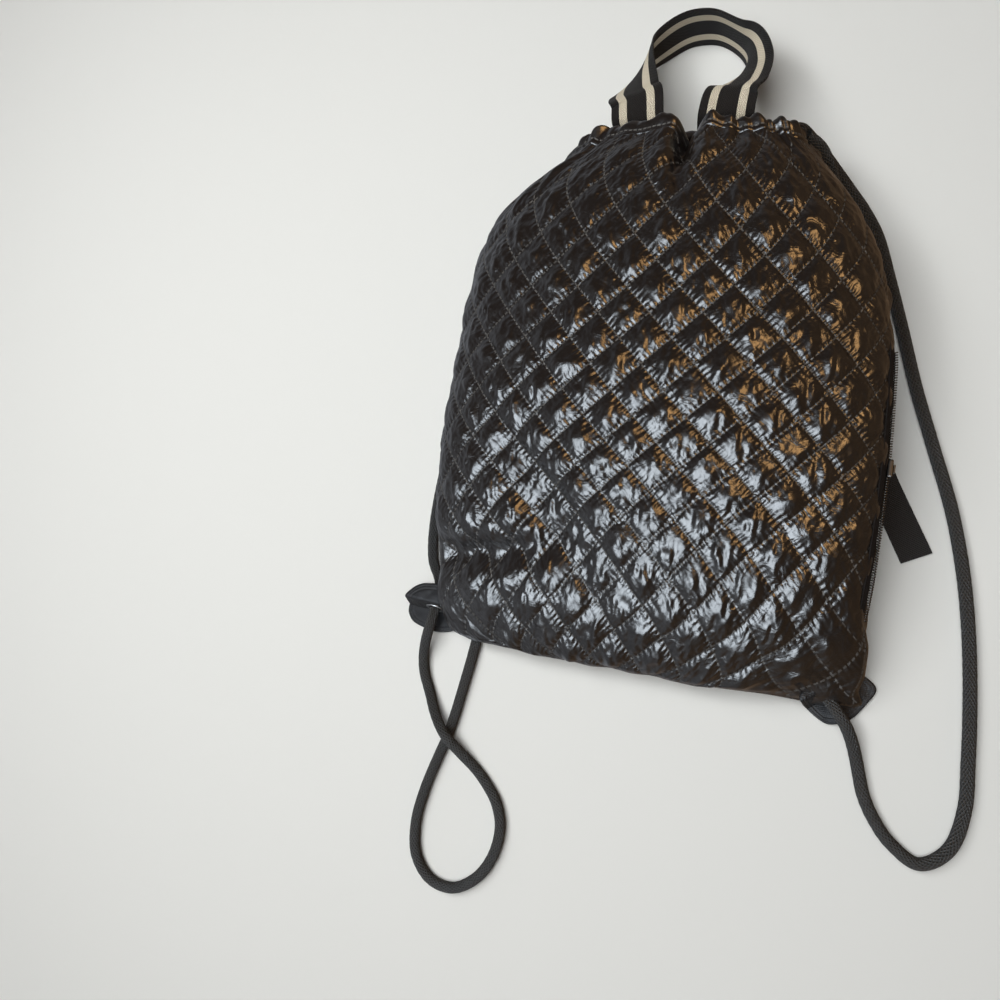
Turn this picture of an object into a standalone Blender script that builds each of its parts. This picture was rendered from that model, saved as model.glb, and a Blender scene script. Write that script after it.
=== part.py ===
"""A quilted puffer drawstring backpack, stuffed and lying on its back.

The origin lies on the surface under the middle of the bag. +Z is up, +Y points to the mouth
and +X to the side with the zip. Each object is one sewn or fastened piece of the bag.
"""

import math

import bmesh
import bpy
import numpy as np

# Driving dimensions, in metres
BAG_WIDTH = 0.320
BAG_LENGTH = 0.385
BAG_DEPTH = 0.104
CLOTH_LENGTH = 0.396
WALL = 0.005
CLEARANCE = 0.0003

CASING_WIDTH = 0.015
CASING_PROUD = 0.0012
CASING_WALL = 0.0065
PLEAT_DEPTH = 0.0022
PLEAT_COUNT = 11
PLEAT_REACH = 0.055

CENTRE_FOLD_DEPTH = 0.016
CENTRE_FOLD_WIDTH = 0.0085
CENTRE_FOLD_LENGTH = 0.060

DENT_DEPTH = 0.013
DENT_WIDTH = 0.013

HANDLE_WIDTH = 0.038
HANDLE_THICKNESS = 0.0016
HANDLE_SPACING = 0.060
HANDLE_REACH = 0.100
HANDLE_FROM = 0.93

PATCH_THICKNESS = 0.003
EYELET_BORE = 0.0104
EYELET_FLANGE = 0.0152
EYELET_SHEET = 0.0006
CORD_DIAMETER = 0.008

ZIP_TAPE_WIDTH = 0.020
ZIP_TAPE_THICKNESS = 0.0010
ZIP_COIL_DIAMETER = 0.0032
SLIDER_LENGTH = 0.011
SLIDER_WIDTH = 0.0075
SLIDER_HEIGHT = 0.0030
PULLER_LENGTH = 0.022
PULLER_WIDTH = 0.0055
PULLER_THICKNESS = 0.0012

SIDE_STRAP_WIDTH = 0.020
SIDE_STRAP_THICKNESS = 0.0016
SIDE_STRAP_LENGTH = 0.085

# Numbers of faces
AROUND = 64
BODY_RINGS = 28
LINING_RINGS = 20
CORD_STEP = 0.024

# Sections of the bag from the bottom seam to the mouth. cloth is the share of the cloth's length,
# left and right are shares of half the width, the y columns are shares of the length and the
# z columns shares of the depth, at the sides, the front and the back. round_front and round_back
# are the squareness of the two halves of the section, 2 for an ellipse.
SECTION_COLUMNS = (
    "cloth", "left", "right", "side_y", "side_z", "front_y", "front_z", "back_y", "back_z",
    "round_front", "round_back",
)
SECTIONS = (
    (0.00, -0.700, 0.660, 0.007, 0.155, 0.003, 0.190, 0.007, 0.130, 2.0, 2.0),
    (0.02, -0.800, 0.760, 0.020, 0.165, 0.012, 0.260, 0.018, 0.120, 2.0, 2.0),
    (0.05, -0.845, 0.830, 0.042, 0.190, 0.030, 0.370, 0.038, 0.110, 2.0, 2.2),
    (0.09, -0.870, 0.885, 0.075, 0.240, 0.062, 0.490, 0.072, 0.060, 2.1, 2.4),
    (0.13, -0.870, 0.925, 0.115, 0.300, 0.100, 0.600, 0.110, 0.000, 2.1, 2.6),
    (0.25, -0.895, 0.945, 0.240, 0.430, 0.225, 0.800, 0.235, -0.010, 2.1, 3.0),
    (0.40, -0.905, 0.950, 0.390, 0.470, 0.375, 0.935, 0.385, -0.010, 2.1, 3.2),
    (0.55, -0.890, 0.940, 0.540, 0.480, 0.530, 1.000, 0.540, -0.010, 2.1, 3.2),
    (0.70, -0.870, 0.885, 0.690, 0.490, 0.690, 1.000, 0.690, -0.010, 2.1, 3.0),
    (0.80, -0.800, 0.790, 0.790, 0.500, 0.790, 0.980, 0.800, 0.000, 2.1, 2.8),
    (0.88, -0.655, 0.680, 0.860, 0.530, 0.860, 0.940, 0.880, 0.020, 2.1, 2.5),
    (0.94, -0.490, 0.570, 0.910, 0.570, 0.905, 0.880, 0.950, 0.120, 2.1, 2.3),
    (1.00, -0.370, 0.470, 0.955, 0.620, 0.950, 0.800, 0.990, 0.440, 2.0, 2.0),
)
CENTRE_FOLD_X = 0.06
LINING_START = 0.085

# The corner patches. x and y are the eyelet's place as shares of the width and length, out is the
# direction that the cord leaves in, in degrees from +X, and outline is the plan of the patch round
# the eyelet as (along out, across it) in shares of the eyelet's flange diameter.
PATCHES = {
    "left": {
        "x": -0.462, "y": 0.048, "out": -93.0,
        "outline": (
            (-1.10, 0.49), (-0.50, 0.59), (0.00, 0.70), (0.50, 0.93), (0.95, 1.18), (1.32, 0.30),
            (1.28, -0.70), (1.05, -1.45), (0.45, -1.80), (-0.35, -1.50), (-0.95, -0.85), (-1.15, 0.00),
        ),
    },
    "right": {
        "x": 0.421, "y": 0.018, "out": -49.0,
        "outline": (
            (-0.485, 0.15), (-0.46, -0.80), (-0.05, -1.00), (0.60, -0.92), (1.25, -0.60),
            (1.52, 0.20), (1.30, 1.20), (0.95, 1.90), (0.15, 1.75), (-0.55, 1.35), (-0.49, 0.75),
        ),
    },
}

# A patch is level at its top and on the floor, with a steep part between them that holds the eyelet
PATCH_SLOPE_DEGREES = 70.0
PATCH_REST = 0.0019
PATCH_MARGIN = 0.0005
PATCH_BEND = 0.0022

# Routes of the cords in metres from the middle of the bottom seam: x, y along the bag, z up.
# Each runs from one end of the casing through its eyelet and back to the casing.
LEFT_ROUTE = (
    (-0.0570, 0.3757, 0.0515), (-0.0625, 0.3800, 0.0430), (-0.0690, 0.3785, 0.0340),
    (-0.0770, 0.3730, 0.0245), (-0.0870, 0.3650, 0.0155), (-0.0985, 0.3550, 0.0085),
    (-0.1110, 0.3420, 0.0050), (-0.1250, 0.3200, 0.0043), (-0.1400, 0.2900, 0.0043),
    (-0.1520, 0.2500, 0.0043), (-0.1580, 0.2000, 0.0043), (-0.1615, 0.1500, 0.0043),
    (-0.1640, 0.1030, 0.0043), (-0.1635, 0.0750, 0.0043), (-0.1600, 0.0540, 0.0043),
    (-0.1525, 0.0410, 0.0053), (-0.1482, 0.0310, 0.0072), (-0.1476, 0.0232, 0.0093),
    (-0.1481, 0.0138, 0.0127), (-0.1488, 0.0045, 0.0142), (-0.1510, -0.0050, 0.0124),
    (-0.1533, -0.0145, 0.0083), (-0.1540, -0.0240, 0.0052), (-0.1515, -0.0350, 0.0043),
    (-0.1446, -0.0485, 0.0043), (-0.1349, -0.0636, 0.0085),
    (-0.1233, -0.0757, 0.0124), (-0.1105, -0.0864, 0.0085), (-0.0970, -0.0968, 0.0043),
    (-0.0856, -0.1067, 0.0043), (-0.0765, -0.1180, 0.0043), (-0.0712, -0.1340, 0.0043),
    (-0.0735, -0.1540, 0.0043), (-0.0830, -0.1720, 0.0043), (-0.1000, -0.1845, 0.0043),
    (-0.1200, -0.1835, 0.0043), (-0.1345, -0.1690, 0.0043), (-0.1388, -0.1460, 0.0043),
    (-0.1355, -0.1200, 0.0043), (-0.1290, -0.0950, 0.0041), (-0.1240, -0.0780, 0.0041),
    (-0.1205, -0.0600, 0.0041), (-0.1175, -0.0400, 0.0041), (-0.1140, -0.0150, 0.0042),
    (-0.1125, 0.0030, 0.0042), (-0.1160, 0.0170, 0.0042), (-0.1215, 0.0310, 0.0042),
    (-0.1270, 0.0500, 0.0042), (-0.1305, 0.0800, 0.0042), (-0.1320, 0.1400, 0.0042),
    (-0.1315, 0.2000, 0.0042), (-0.1270, 0.2500, 0.0042), (-0.1210, 0.2800, 0.0042),
    (-0.1140, 0.3030, 0.0044), (-0.1080, 0.3190, 0.0060), (-0.1020, 0.3330, 0.0110),
    (-0.0960, 0.3450, 0.0210), (-0.0895, 0.3550, 0.0335), (-0.0810, 0.3640, 0.0455),
    (-0.0692, 0.3681, 0.0550),
)
RIGHT_ROUTE = (
    (0.0731, 0.3758, 0.0508), (0.0800, 0.3800, 0.0430), (0.0865, 0.3785, 0.0340),
    (0.0950, 0.3730, 0.0245), (0.1045, 0.3650, 0.0155), (0.1150, 0.3540, 0.0085),
    (0.1260, 0.3400, 0.0050), (0.1370, 0.3200, 0.0043), (0.1470, 0.2900, 0.0043),
    (0.1580, 0.2550, 0.0043), (0.1700, 0.2150, 0.0043), (0.1840, 0.1750, 0.0043),
    (0.1980, 0.1350, 0.0043), (0.2080, 0.0950, 0.0043), (0.2145, 0.0550, 0.0043),
    (0.2185, 0.0150, 0.0043), (0.2205, -0.0200, 0.0043), (0.2210, -0.0480, 0.0043),
    (0.2150, -0.0730, 0.0043), (0.1995, -0.0860, 0.0043), (0.1830, -0.0780, 0.0043),
    (0.1720, -0.0655, 0.0043), (0.1650, -0.0530, 0.0043), (0.1615, -0.0420, 0.0043),
    (0.1585, -0.0315, 0.0049), (0.1550, -0.0215, 0.0082), (0.1503, -0.0120, 0.0123),
    (0.1446, -0.0042, 0.0142), (0.1378, 0.0034, 0.0127), (0.1316, 0.0105, 0.0093),
    (0.1262, 0.0180, 0.0071), (0.1230, 0.0270, 0.0053), (0.1218, 0.0370, 0.0044), (0.1240, 0.0500, 0.0042),
    (0.1255, 0.0750, 0.0042), (0.1260, 0.1200, 0.0042), (0.1260, 0.2000, 0.0042),
    (0.1260, 0.2500, 0.0042), (0.1250, 0.2800, 0.0042), (0.1210, 0.3030, 0.0044),
    (0.1170, 0.3190, 0.0060), (0.1120, 0.3330, 0.0110), (0.1070, 0.3450, 0.0210),
    (0.1015, 0.3550, 0.0335), (0.0942, 0.3635, 0.0455), (0.0842, 0.3672, 0.0563),
)

# The zip and the side strap, as shares of the cloth's length or of the bag's own sizes
ZIP_FROM, ZIP_TO = 0.150, 0.600
SLIDER_AT = 0.40
STRAP_ROOT_X, STRAP_ROOT_Y = 0.442, 0.460
STRAP_DIRECTION_DEGREES = -62.0

HALF_WIDTH = BAG_WIDTH / 2
BOTTOM_Y = -BAG_LENGTH / 2
CASING_FROM = 1.0 - CASING_WIDTH / CLOTH_LENGTH
BODY_TO = CASING_FROM - CLEARANCE / CLOTH_LENGTH


def clear_scene():
    for old in list(bpy.data.objects):
        bpy.data.objects.remove(old, do_unlink=True)


def collection_named(name):
    group = bpy.data.collections.new(name)
    bpy.context.scene.collection.children.link(group)
    return group


def material(name, colour, roughness, metallic=0.0):
    made = bpy.data.materials.new(name)
    made.use_nodes = True
    shader = made.node_tree.nodes["Principled BSDF"]
    shader.inputs["Base Color"].default_value = (*colour, 1.0)
    shader.inputs["Roughness"].default_value = roughness
    shader.inputs["Metallic"].default_value = metallic
    return made


def mesh_object(name, points, faces, finish, group):
    """A named object of these points and faces, with its normals turned outwards."""
    mesh = bpy.data.meshes.new(name)
    mesh.from_pydata([tuple(map(float, p)) for p in points], [], faces)
    work = bmesh.new()
    work.from_mesh(mesh)
    bmesh.ops.recalc_face_normals(work, faces=work.faces)
    work.to_mesh(mesh)
    work.free()
    mesh.shade_smooth()
    mesh.set_sharp_from_angle(angle=math.radians(40))
    made = bpy.data.objects.new(name, mesh)
    made.data.materials.append(finish)
    group.objects.link(made)
    return made


def smooth_columns(at, knots, values):
    """Cubic curves through each column of the table, that don't overshoot their rows."""
    steps = np.diff(knots)
    rises = np.diff(values, axis=0) / steps[:, None]
    slopes = np.zeros_like(values)
    slopes[0], slopes[-1] = rises[0], rises[-1]
    before, after = rises[:-1], rises[1:]
    weight_a = (2 * steps[1:] + steps[:-1])[:, None]
    weight_b = (steps[1:] + 2 * steps[:-1])[:, None]
    same_way = before * after > 0
    safe_before = np.where(same_way, before, 1.0)
    safe_after = np.where(same_way, after, 1.0)
    middle = (weight_a + weight_b) / (weight_a / safe_before + weight_b / safe_after)
    slopes[1:-1] = np.where(same_way, middle, 0.0)
    low = np.clip(np.searchsorted(knots, at, side="right") - 1, 0, len(knots) - 2)
    share = ((at - knots[low]) / steps[low])[..., None]
    step = steps[low][..., None]
    return (
        (2 * share**3 - 3 * share**2 + 1) * values[low]
        + (share**3 - 2 * share**2 + share) * step * slopes[low]
        + (3 * share**2 - 2 * share**3) * values[low + 1]
        + (share**3 - share**2) * step * slopes[low + 1]
    )


def section_at(cloth):
    """The table's columns, by name, at these shares of the cloth's length."""
    table = np.array(SECTIONS)
    values = smooth_columns(cloth, table[:, 0], table[:, 1:])
    return {name: values[..., k] for k, name in enumerate(SECTION_COLUMNS[1:])}


def plain_surface(cloth, angle):
    """Points of the bag's outside without its folds. angle is 0 at the right side, a quarter
    turn at the front and three quarters at the back."""
    row = section_at(cloth)
    left, right = row["left"] * HALF_WIDTH, row["right"] * HALF_WIDTH
    front = np.sin(angle) >= 0
    power = 2 / np.where(front, row["round_front"], row["round_back"])
    across = np.sign(np.cos(angle)) * np.abs(np.cos(angle)) ** power
    towards = np.abs(np.sin(angle)) ** power
    far_y = np.where(front, row["front_y"], row["back_y"])
    far_z = np.where(front, row["front_z"], row["back_z"])
    x = (left + right) / 2 + (right - left) / 2 * across
    y = BOTTOM_Y + BAG_LENGTH * (row["side_y"] + (far_y - row["side_y"]) * towards)
    z = BAG_DEPTH * (row["side_z"] + (far_z - row["side_z"]) * towards)
    return np.stack([x, y, np.maximum(z, 0.0)], -1)


def outward(grid):
    """Unit normals of a grid of closed rings."""
    along = np.gradient(grid, axis=0)
    around = np.roll(grid, -1, axis=1) - np.roll(grid, 1, axis=1)
    normal = np.cross(along, around)
    return normal / np.linalg.norm(normal, axis=2, keepdims=True)


def plain_normal(cloth, angle, step=0.002):
    """Unit normals of the outside without its folds."""
    along = plain_surface(cloth + step, angle) - plain_surface(cloth - step, angle)
    around = plain_surface(cloth, angle + step * 5) - plain_surface(cloth, angle - step * 5)
    normal = np.cross(along, around)
    return normal / np.linalg.norm(normal, axis=-1, keepdims=True)


def folded_surface(cloth, angle, pleats=1.0):
    """The bag's outside with its centre fold, pleats and the dent at its lower left."""
    grid = plain_surface(cloth, angle)
    normal = plain_normal(cloth, angle)
    front = np.clip(np.sin(angle) * 3, 0, 1)
    from_mouth = (1 - cloth) * CLOTH_LENGTH
    fold_x = CENTRE_FOLD_X * HALF_WIDTH
    near_fold = np.exp(-(((grid[..., 0] - fold_x) / CENTRE_FOLD_WIDTH) ** 2))
    fold = CENTRE_FOLD_DEPTH * near_fold * front * np.clip(1 - from_mouth / CENTRE_FOLD_LENGTH, 0, 1)
    pleat_share = pleats * np.clip(1 - from_mouth / PLEAT_REACH, 0, 1) ** 2
    pleat = PLEAT_DEPTH * pleat_share * np.cos(angle * PLEAT_COUNT)
    x_share = grid[..., 0] / HALF_WIDTH
    dent_y = BOTTOM_Y + BAG_LENGTH * (0.150 + 0.10 * (x_share + 0.9) ** 2)
    dent_line = np.exp(-(((grid[..., 1] - dent_y) / DENT_WIDTH) ** 2))
    dent = DENT_DEPTH * dent_line * front * np.clip((-0.15 - x_share) / 0.35, 0, 1)
    grid = grid + normal * (pleat - fold - dent)[..., None]
    grid[..., 2] = np.maximum(grid[..., 2], 0.0)
    return grid


def ring_grid(shares):
    cloth, angle = np.meshgrid(shares, np.arange(AROUND) * 2 * np.pi / AROUND, indexing="ij")
    return cloth, angle


def seam_normal():
    """Unit normals round the seam between the body and the casing, that both pieces end on."""
    cloth, angle = ring_grid(np.array([CASING_FROM]))
    return plain_normal(cloth, angle)[0]


def ring_faces(rings, first=0):
    """Quads between rings of AROUND points each, ring after ring."""
    faces = []
    for ring in range(rings - 1):
        for k in range(AROUND):
            a, b = first + ring * AROUND + k, first + ring * AROUND + (k + 1) % AROUND
            faces.append((a, b, b + AROUND, a + AROUND))
    return faces


def cap_faces(first):
    """Closes a flat ring by joining its front half to its back half."""
    half = AROUND // 2
    faces = [(first, first + 1, first + AROUND - 1)]
    for k in range(1, half - 1):
        faces.append((first + k, first + k + 1, first + AROUND - k - 1, first + AROUND - k))
    faces.append((first + half - 1, first + half, first + half + 1))
    return faces


def lofted_shell(name, outer, inner, finish, group, closed_at_start):
    """A wall between two grids of rings, joined at the end and either capped or joined at the start."""
    rings_out, rings_in = len(outer), len(inner)
    points = np.concatenate([outer.reshape(-1, 3), inner.reshape(-1, 3)])
    start_in = rings_out * AROUND
    faces = ring_faces(rings_out) + ring_faces(rings_in, start_in)
    last_out, last_in = (rings_out - 1) * AROUND, start_in + (rings_in - 1) * AROUND
    pairs = [(last_out, last_in)]
    if closed_at_start:
        faces += cap_faces(0) + cap_faces(start_in)
    else:
        pairs.append((0, start_in))
    for a, b in pairs:
        for k in range(AROUND):
            n = (k + 1) % AROUND
            faces.append((a + k, a + n, b + n, b + k))
    return mesh_object(name, points, faces, finish, group)


def quilted_body(group):
    """Front and back panels sewn into one padded, hollow shell that is open at the mouth."""
    finish = material("glossy quilted nylon", (0.020, 0.016, 0.015), 0.25)
    spread = np.linspace(0, 1, BODY_RINGS)
    shares = BODY_TO * (0.35 * spread**2 + 0.65 * spread)
    cloth, angle = ring_grid(shares)
    outer = folded_surface(cloth, angle)
    spread = np.linspace(0, 1, LINING_RINGS)
    cloth, angle = ring_grid(LINING_START + (BODY_TO - LINING_START) * spread)
    plain = folded_surface(cloth, angle, pleats=0.0)
    ramp = np.clip((cloth - LINING_START) / (BODY_TO - LINING_START), 0, 1)[..., None]
    inner = plain - outward(plain) * (WALL + PLEAT_DEPTH * ramp**3)
    inner[-1] = plain[-1] - seam_normal() * (WALL + PLEAT_DEPTH)
    return lofted_shell("quilted_body", outer, inner, finish, group, True)


def drawstring_casing(group):
    """The doubled, gathered band round the mouth that the cords run in."""
    finish = material("glossy nylon casing", (0.022, 0.018, 0.016), 0.25)
    cloth, angle = ring_grid(np.array([CASING_FROM, (CASING_FROM + 1) / 2, 1.0]))
    base = folded_surface(cloth, angle)
    proud = np.array([0.15, 1.0, 0.2])[:, None, None] * CASING_PROUD
    outer = base + outward(base) * proud
    smooth = folded_surface(cloth, angle, pleats=0.3)
    inner = smooth - outward(smooth) * CASING_WALL
    outer[0] = base[0] + seam_normal() * CASING_PROUD * 0.15
    inner[0] = smooth[0] - seam_normal() * CASING_WALL
    return lofted_shell("drawstring_casing", outer, inner, finish, group, False)


def ribbon(name, centres, widths, width, thickness, finish, group):
    """A flat strap: a rectangle carried along centres, with its width along the unit widths."""
    centres, widths = np.array(centres), np.array(widths)
    along = np.gradient(centres, axis=0)
    along /= np.linalg.norm(along, axis=1, keepdims=True)
    widths = widths - along * (widths * along).sum(1, keepdims=True)
    widths /= np.linalg.norm(widths, axis=1, keepdims=True)
    normals = np.cross(along, widths)
    corners = []
    for a, b in ((-0.5, -0.5), (0.5, -0.5), (0.5, 0.5), (-0.5, 0.5)):
        corners.append(centres + widths * width * a + normals * thickness * b)
    points = np.stack(corners, 1).reshape(-1, 3)
    count = len(centres)
    faces = [(0, 1, 2, 3), tuple(4 * (count - 1) + k for k in (3, 2, 1, 0))]
    for i in range(count - 1):
        for k in range(4):
            n = (k + 1) % 4
            faces.append((4 * i + k, 4 * i + n, 4 * i + 4 + n, 4 * i + 4 + k))
    return mesh_object(name, points, faces, finish, group)


def smooth_path(route, count):
    """Evenly spaced points on a cardinal curve through the route."""
    route = np.array(route, float)
    ends = np.concatenate([[2 * route[0] - route[1]], route, [2 * route[-1] - route[-2]]])
    dense = []
    for k in range(len(route) - 1):
        a, b, c, d = ends[k : k + 4]
        for s in np.arange(12) / 12:
            dense.append(
                0.5
                * (2 * b + (c - a) * s + (2 * a - 5 * b + 4 * c - d) * s**2 + (3 * b - a - 3 * c + d) * s**3)
            )
    dense = np.array(dense + [route[-1]])
    length = np.concatenate([[0], np.cumsum(np.linalg.norm(np.diff(dense, axis=0), axis=1))])
    at = np.linspace(0, length[-1], count)
    return np.stack([np.interp(at, length, dense[:, k]) for k in range(3)], 1)


def knotted_path(route, longest):
    """Points on the same curve: each knot of the route, and steps between that are no longer than this."""
    route = np.array(route, float)
    ends = np.concatenate([[2 * route[0] - route[1]], route, [2 * route[-1] - route[-2]]])
    points = []
    for k in range(len(route) - 1):
        a, b, c, d = ends[k : k + 4]
        steps = math.ceil(np.linalg.norm(c - b) / longest)
        for s in np.arange(steps) / steps:
            bend = 2 * a - 5 * b + 4 * c - d
            points.append(0.5 * (2 * b + (c - a) * s + bend * s**2 + (3 * b - a - 3 * c + d) * s**3))
    return np.array(points + [route[-1]])


def carry_handle(group):
    """A loop of striped webbing: its ends lie flat on the back of the casing and its top stands on edge."""
    finish = material("striped webbing", (0.030, 0.028, 0.026), 0.75)
    lift = CASING_PROUD + CLEARANCE + HANDLE_THICKNESS / 2
    lifted = side_points(np.linspace(HANDLE_FROM, 1.0, 7), np.array([1.5 * np.pi]), lift)[:, 0]
    middle_x = CENTRE_FOLD_X * HALF_WIDTH - 0.011
    stand = HANDLE_WIDTH / 2 + CLEARANCE
    mouth_y, mouth_z = lifted[-1, 1:]
    half = HANDLE_SPACING / 2
    side = [(half, y, max(z, CLEARANCE + HANDLE_THICKNESS)) for x, y, z in lifted]
    side += [
        (half + 0.001, mouth_y + 0.006, mouth_z + 0.010),
        (half + 0.003, mouth_y + 0.020, mouth_z + 0.012),
        (half + 0.008, mouth_y + 0.30 * HANDLE_REACH, mouth_z + 0.006),
        (half + 0.011, mouth_y + 0.52 * HANDLE_REACH, (mouth_z + stand) / 2 + 0.004),
        (half + 0.006, mouth_y + 0.78 * HANDLE_REACH, stand + 0.003),
        (half * 0.55, mouth_y + 0.96 * HANDLE_REACH, stand),
    ]
    route = [(middle_x - x, y, z) for x, y, z in side]
    route.append((middle_x, mouth_y + HANDLE_REACH, stand))
    route += [(middle_x + x, y, z) for x, y, z in reversed(side)]
    centres = smooth_path(route, 45)
    share = np.linspace(-1, 1, 45)
    turn = np.clip((1 - np.abs(share)) / 0.62 - 0.45, 0, 1)
    turn = (3 * turn**2 - 2 * turn**3) * np.pi / 2
    widths = np.stack([np.cos(turn), 0 * turn, np.sin(turn) * np.where(share < 0, 1, 1)], 1)
    return ribbon("carry_handle", centres, widths, HANDLE_WIDTH, HANDLE_THICKNESS, finish, group)


SLOPE = math.radians(PATCH_SLOPE_DEGREES)
STEEP_END = (EYELET_FLANGE / 2 + PATCH_MARGIN) * math.cos(SLOPE)
BEND_END = STEEP_END + PATCH_BEND * math.sin(SLOPE)
HALF_DROP = STEEP_END * math.tan(SLOPE) + PATCH_BEND * (1 - math.cos(SLOPE))
EYELET_HEIGHT = PATCH_REST + HALF_DROP


def patch_profile(along):
    """Height and slope of a patch's middle surface: level, a round bend, steep, a bend back, level."""
    side, reach = np.sign(along), np.abs(along)
    into_bend = np.clip(BEND_END - reach, 0.0, PATCH_BEND * math.sin(SLOPE))
    drop = np.sqrt(PATCH_BEND**2 - into_bend**2)
    height = HALF_DROP - (PATCH_BEND - drop)
    tilt = -into_bend / drop
    steep = reach < STEEP_END
    height = np.where(steep, reach * math.tan(SLOPE), height)
    tilt = np.where(steep, -math.tan(SLOPE), tilt)
    return EYELET_HEIGHT - side * height, tilt


def corner_patch(side, finish, group, cutters):
    """A bent flap of plain cloth whose steep part holds the eyelet, with a hole through it."""
    place = PATCHES[side]
    turn = math.radians(place["out"])
    centre = np.array([place["x"] * BAG_WIDTH, BOTTOM_Y + place["y"] * BAG_LENGTH])
    ahead = np.array([math.cos(turn), math.sin(turn)])
    across = np.array([-ahead[1], ahead[0]])
    outline = np.array(place["outline"]) * EYELET_FLANGE
    outline = smooth_path([(u, v, 0) for u, v in (*outline, outline[0])], 29)[:-1, :2]
    back, front = outline[:, 0].min(), outline[:, 0].max()
    bend = BEND_END - PATCH_BEND * np.sin(np.linspace(SLOPE, 0, 6))
    rows = np.concatenate([
        np.linspace(back + 0.0004, -1.2 * BEND_END, 3), -bend[::-1], [0.0], bend,
        np.linspace(1.2 * BEND_END, front - 0.0004, 4),
    ])
    heights, tilts = patch_profile(rows)
    columns = 9
    surface = np.zeros((len(rows), columns, 3))
    closed = np.vstack([outline, outline[:1]])
    for i, u in enumerate(rows):
        crossing = []
        for p, q in zip(closed[:-1], closed[1:]):
            if (p[0] - u) * (q[0] - u) <= 0 and p[0] != q[0]:
                crossing.append(p[1] + (q[1] - p[1]) * (u - p[0]) / (q[0] - p[0]))
        v = np.linspace(min(crossing), max(crossing), columns)
        surface[i, :, :2] = centre + u * ahead + v[:, None] * across
        surface[i, :, 2] = heights[i]
    normal = np.stack([-tilts * ahead[0], -tilts * ahead[1], np.ones(len(rows))], 1)
    normal /= np.linalg.norm(normal, axis=1, keepdims=True)
    offset = normal[:, None, :] * PATCH_THICKNESS / 2
    top, under = surface + offset, surface - offset
    points = np.concatenate([top.reshape(-1, 3), under.reshape(-1, 3)])
    size = len(rows) * columns
    faces = []
    for i in range(len(rows) - 1):
        for k in range(columns - 1):
            a = i * columns + k
            quad = (a, a + 1, a + columns + 1, a + columns)
            faces += [quad, tuple(size + c for c in reversed(quad))]
    border = [k for k in range(columns)]
    border += [i * columns + columns - 1 for i in range(1, len(rows))]
    border += [(len(rows) - 1) * columns + k for k in range(columns - 2, -1, -1)]
    border += [i * columns for i in range(len(rows) - 2, 0, -1)]
    for a, b in zip(border, border[1:] + border[:1]):
        faces.append((a, b, size + b, size + a))
    patch = mesh_object(f"{side}_corner_patch", points, faces, finish, group)
    cut_eyelet_hole(patch, side, cutters)
    return patch


def eyelet_axis(side):
    """The eyelet's middle and the turn that stands its axis square to the patch."""
    place = PATCHES[side]
    centre = (place["x"] * BAG_WIDTH, BOTTOM_Y + place["y"] * BAG_LENGTH, EYELET_HEIGHT)
    return centre, (0.0, SLOPE, math.radians(place["out"]))


def cut_eyelet_hole(patch, side, cutters):
    work = bmesh.new()
    hole = EYELET_BORE + 2 * (EYELET_SHEET + CLEARANCE)
    bmesh.ops.create_cone(
        work, cap_ends=True, segments=20, radius1=hole / 2, radius2=hole / 2, depth=4 * PATCH_THICKNESS
    )
    mesh = bpy.data.meshes.new(f"{side} eyelet hole")
    work.to_mesh(mesh)
    work.free()
    cutter = bpy.data.objects.new(f"{side} eyelet hole", mesh)
    cutter.location, cutter.rotation_euler = eyelet_axis(side)
    cutter.hide_render = True
    cutter.display_type = "WIRE"
    cutters.objects.link(cutter)
    cut = patch.modifiers.new("eyelet hole", "BOOLEAN")
    cut.operation = "DIFFERENCE"
    cut.object = cutter


def eyelet(side, finish, group):
    """A rolled metal eyelet: a barrel through the patch with a flange on each face."""
    bore, flange = EYELET_BORE / 2, EYELET_FLANGE / 2
    inside = PATCH_THICKNESS / 2 + CLEARANCE
    face = inside + EYELET_SHEET
    barrel = bore + EYELET_SHEET
    profile = (
        (flange, inside), (flange, face), (bore + 0.0004, face), (bore, face - 0.0004),
        (bore, -face + 0.0004), (bore + 0.0004, -face), (flange, -face), (flange, -inside),
        (barrel, -inside), (barrel, inside),
    )
    work = bmesh.new()
    corners = [work.verts.new((r, 0.0, z)) for r, z in profile]
    for a, b in zip(corners, corners[1:] + corners[:1]):
        work.edges.new((a, b))
    bmesh.ops.spin(
        work, geom=work.verts[:] + work.edges[:], cent=(0, 0, 0), axis=(0, 0, 1),
        angle=2 * math.pi, steps=20, use_merge=True,
    )
    bmesh.ops.remove_doubles(work, verts=work.verts, dist=1e-6)
    bmesh.ops.recalc_face_normals(work, faces=work.faces)
    mesh = bpy.data.meshes.new(f"{side}_eyelet")
    work.to_mesh(mesh)
    work.free()
    mesh.shade_smooth()
    mesh.set_sharp_from_angle(angle=math.radians(40))
    made = bpy.data.objects.new(f"{side}_eyelet", mesh)
    made.location, made.rotation_euler = eyelet_axis(side)
    made.data.materials.append(finish)
    group.objects.link(made)
    return made


def round_cord(name, path, diameter, sides, finish, group):
    """A tube along these points, with closed ends."""
    count = len(path)
    curve = bpy.data.curves.new(name, "CURVE")
    curve.dimensions = "3D"
    curve.bevel_depth = diameter / 2
    curve.bevel_resolution = sides
    curve.use_fill_caps = True
    spline = curve.splines.new("POLY")
    spline.points.add(count - 1)
    spline.points.foreach_set("co", np.concatenate([path, np.ones((count, 1))], 1).ravel())
    made = bpy.data.objects.new(name, curve)
    made.data.materials.append(finish)
    group.objects.link(made)
    return made


def on_bag(route):
    """A route measured from the middle of the bottom seam, in the bag's own frame."""
    return [(x, y + BOTTOM_Y, z) for x, y, z in route]


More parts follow.
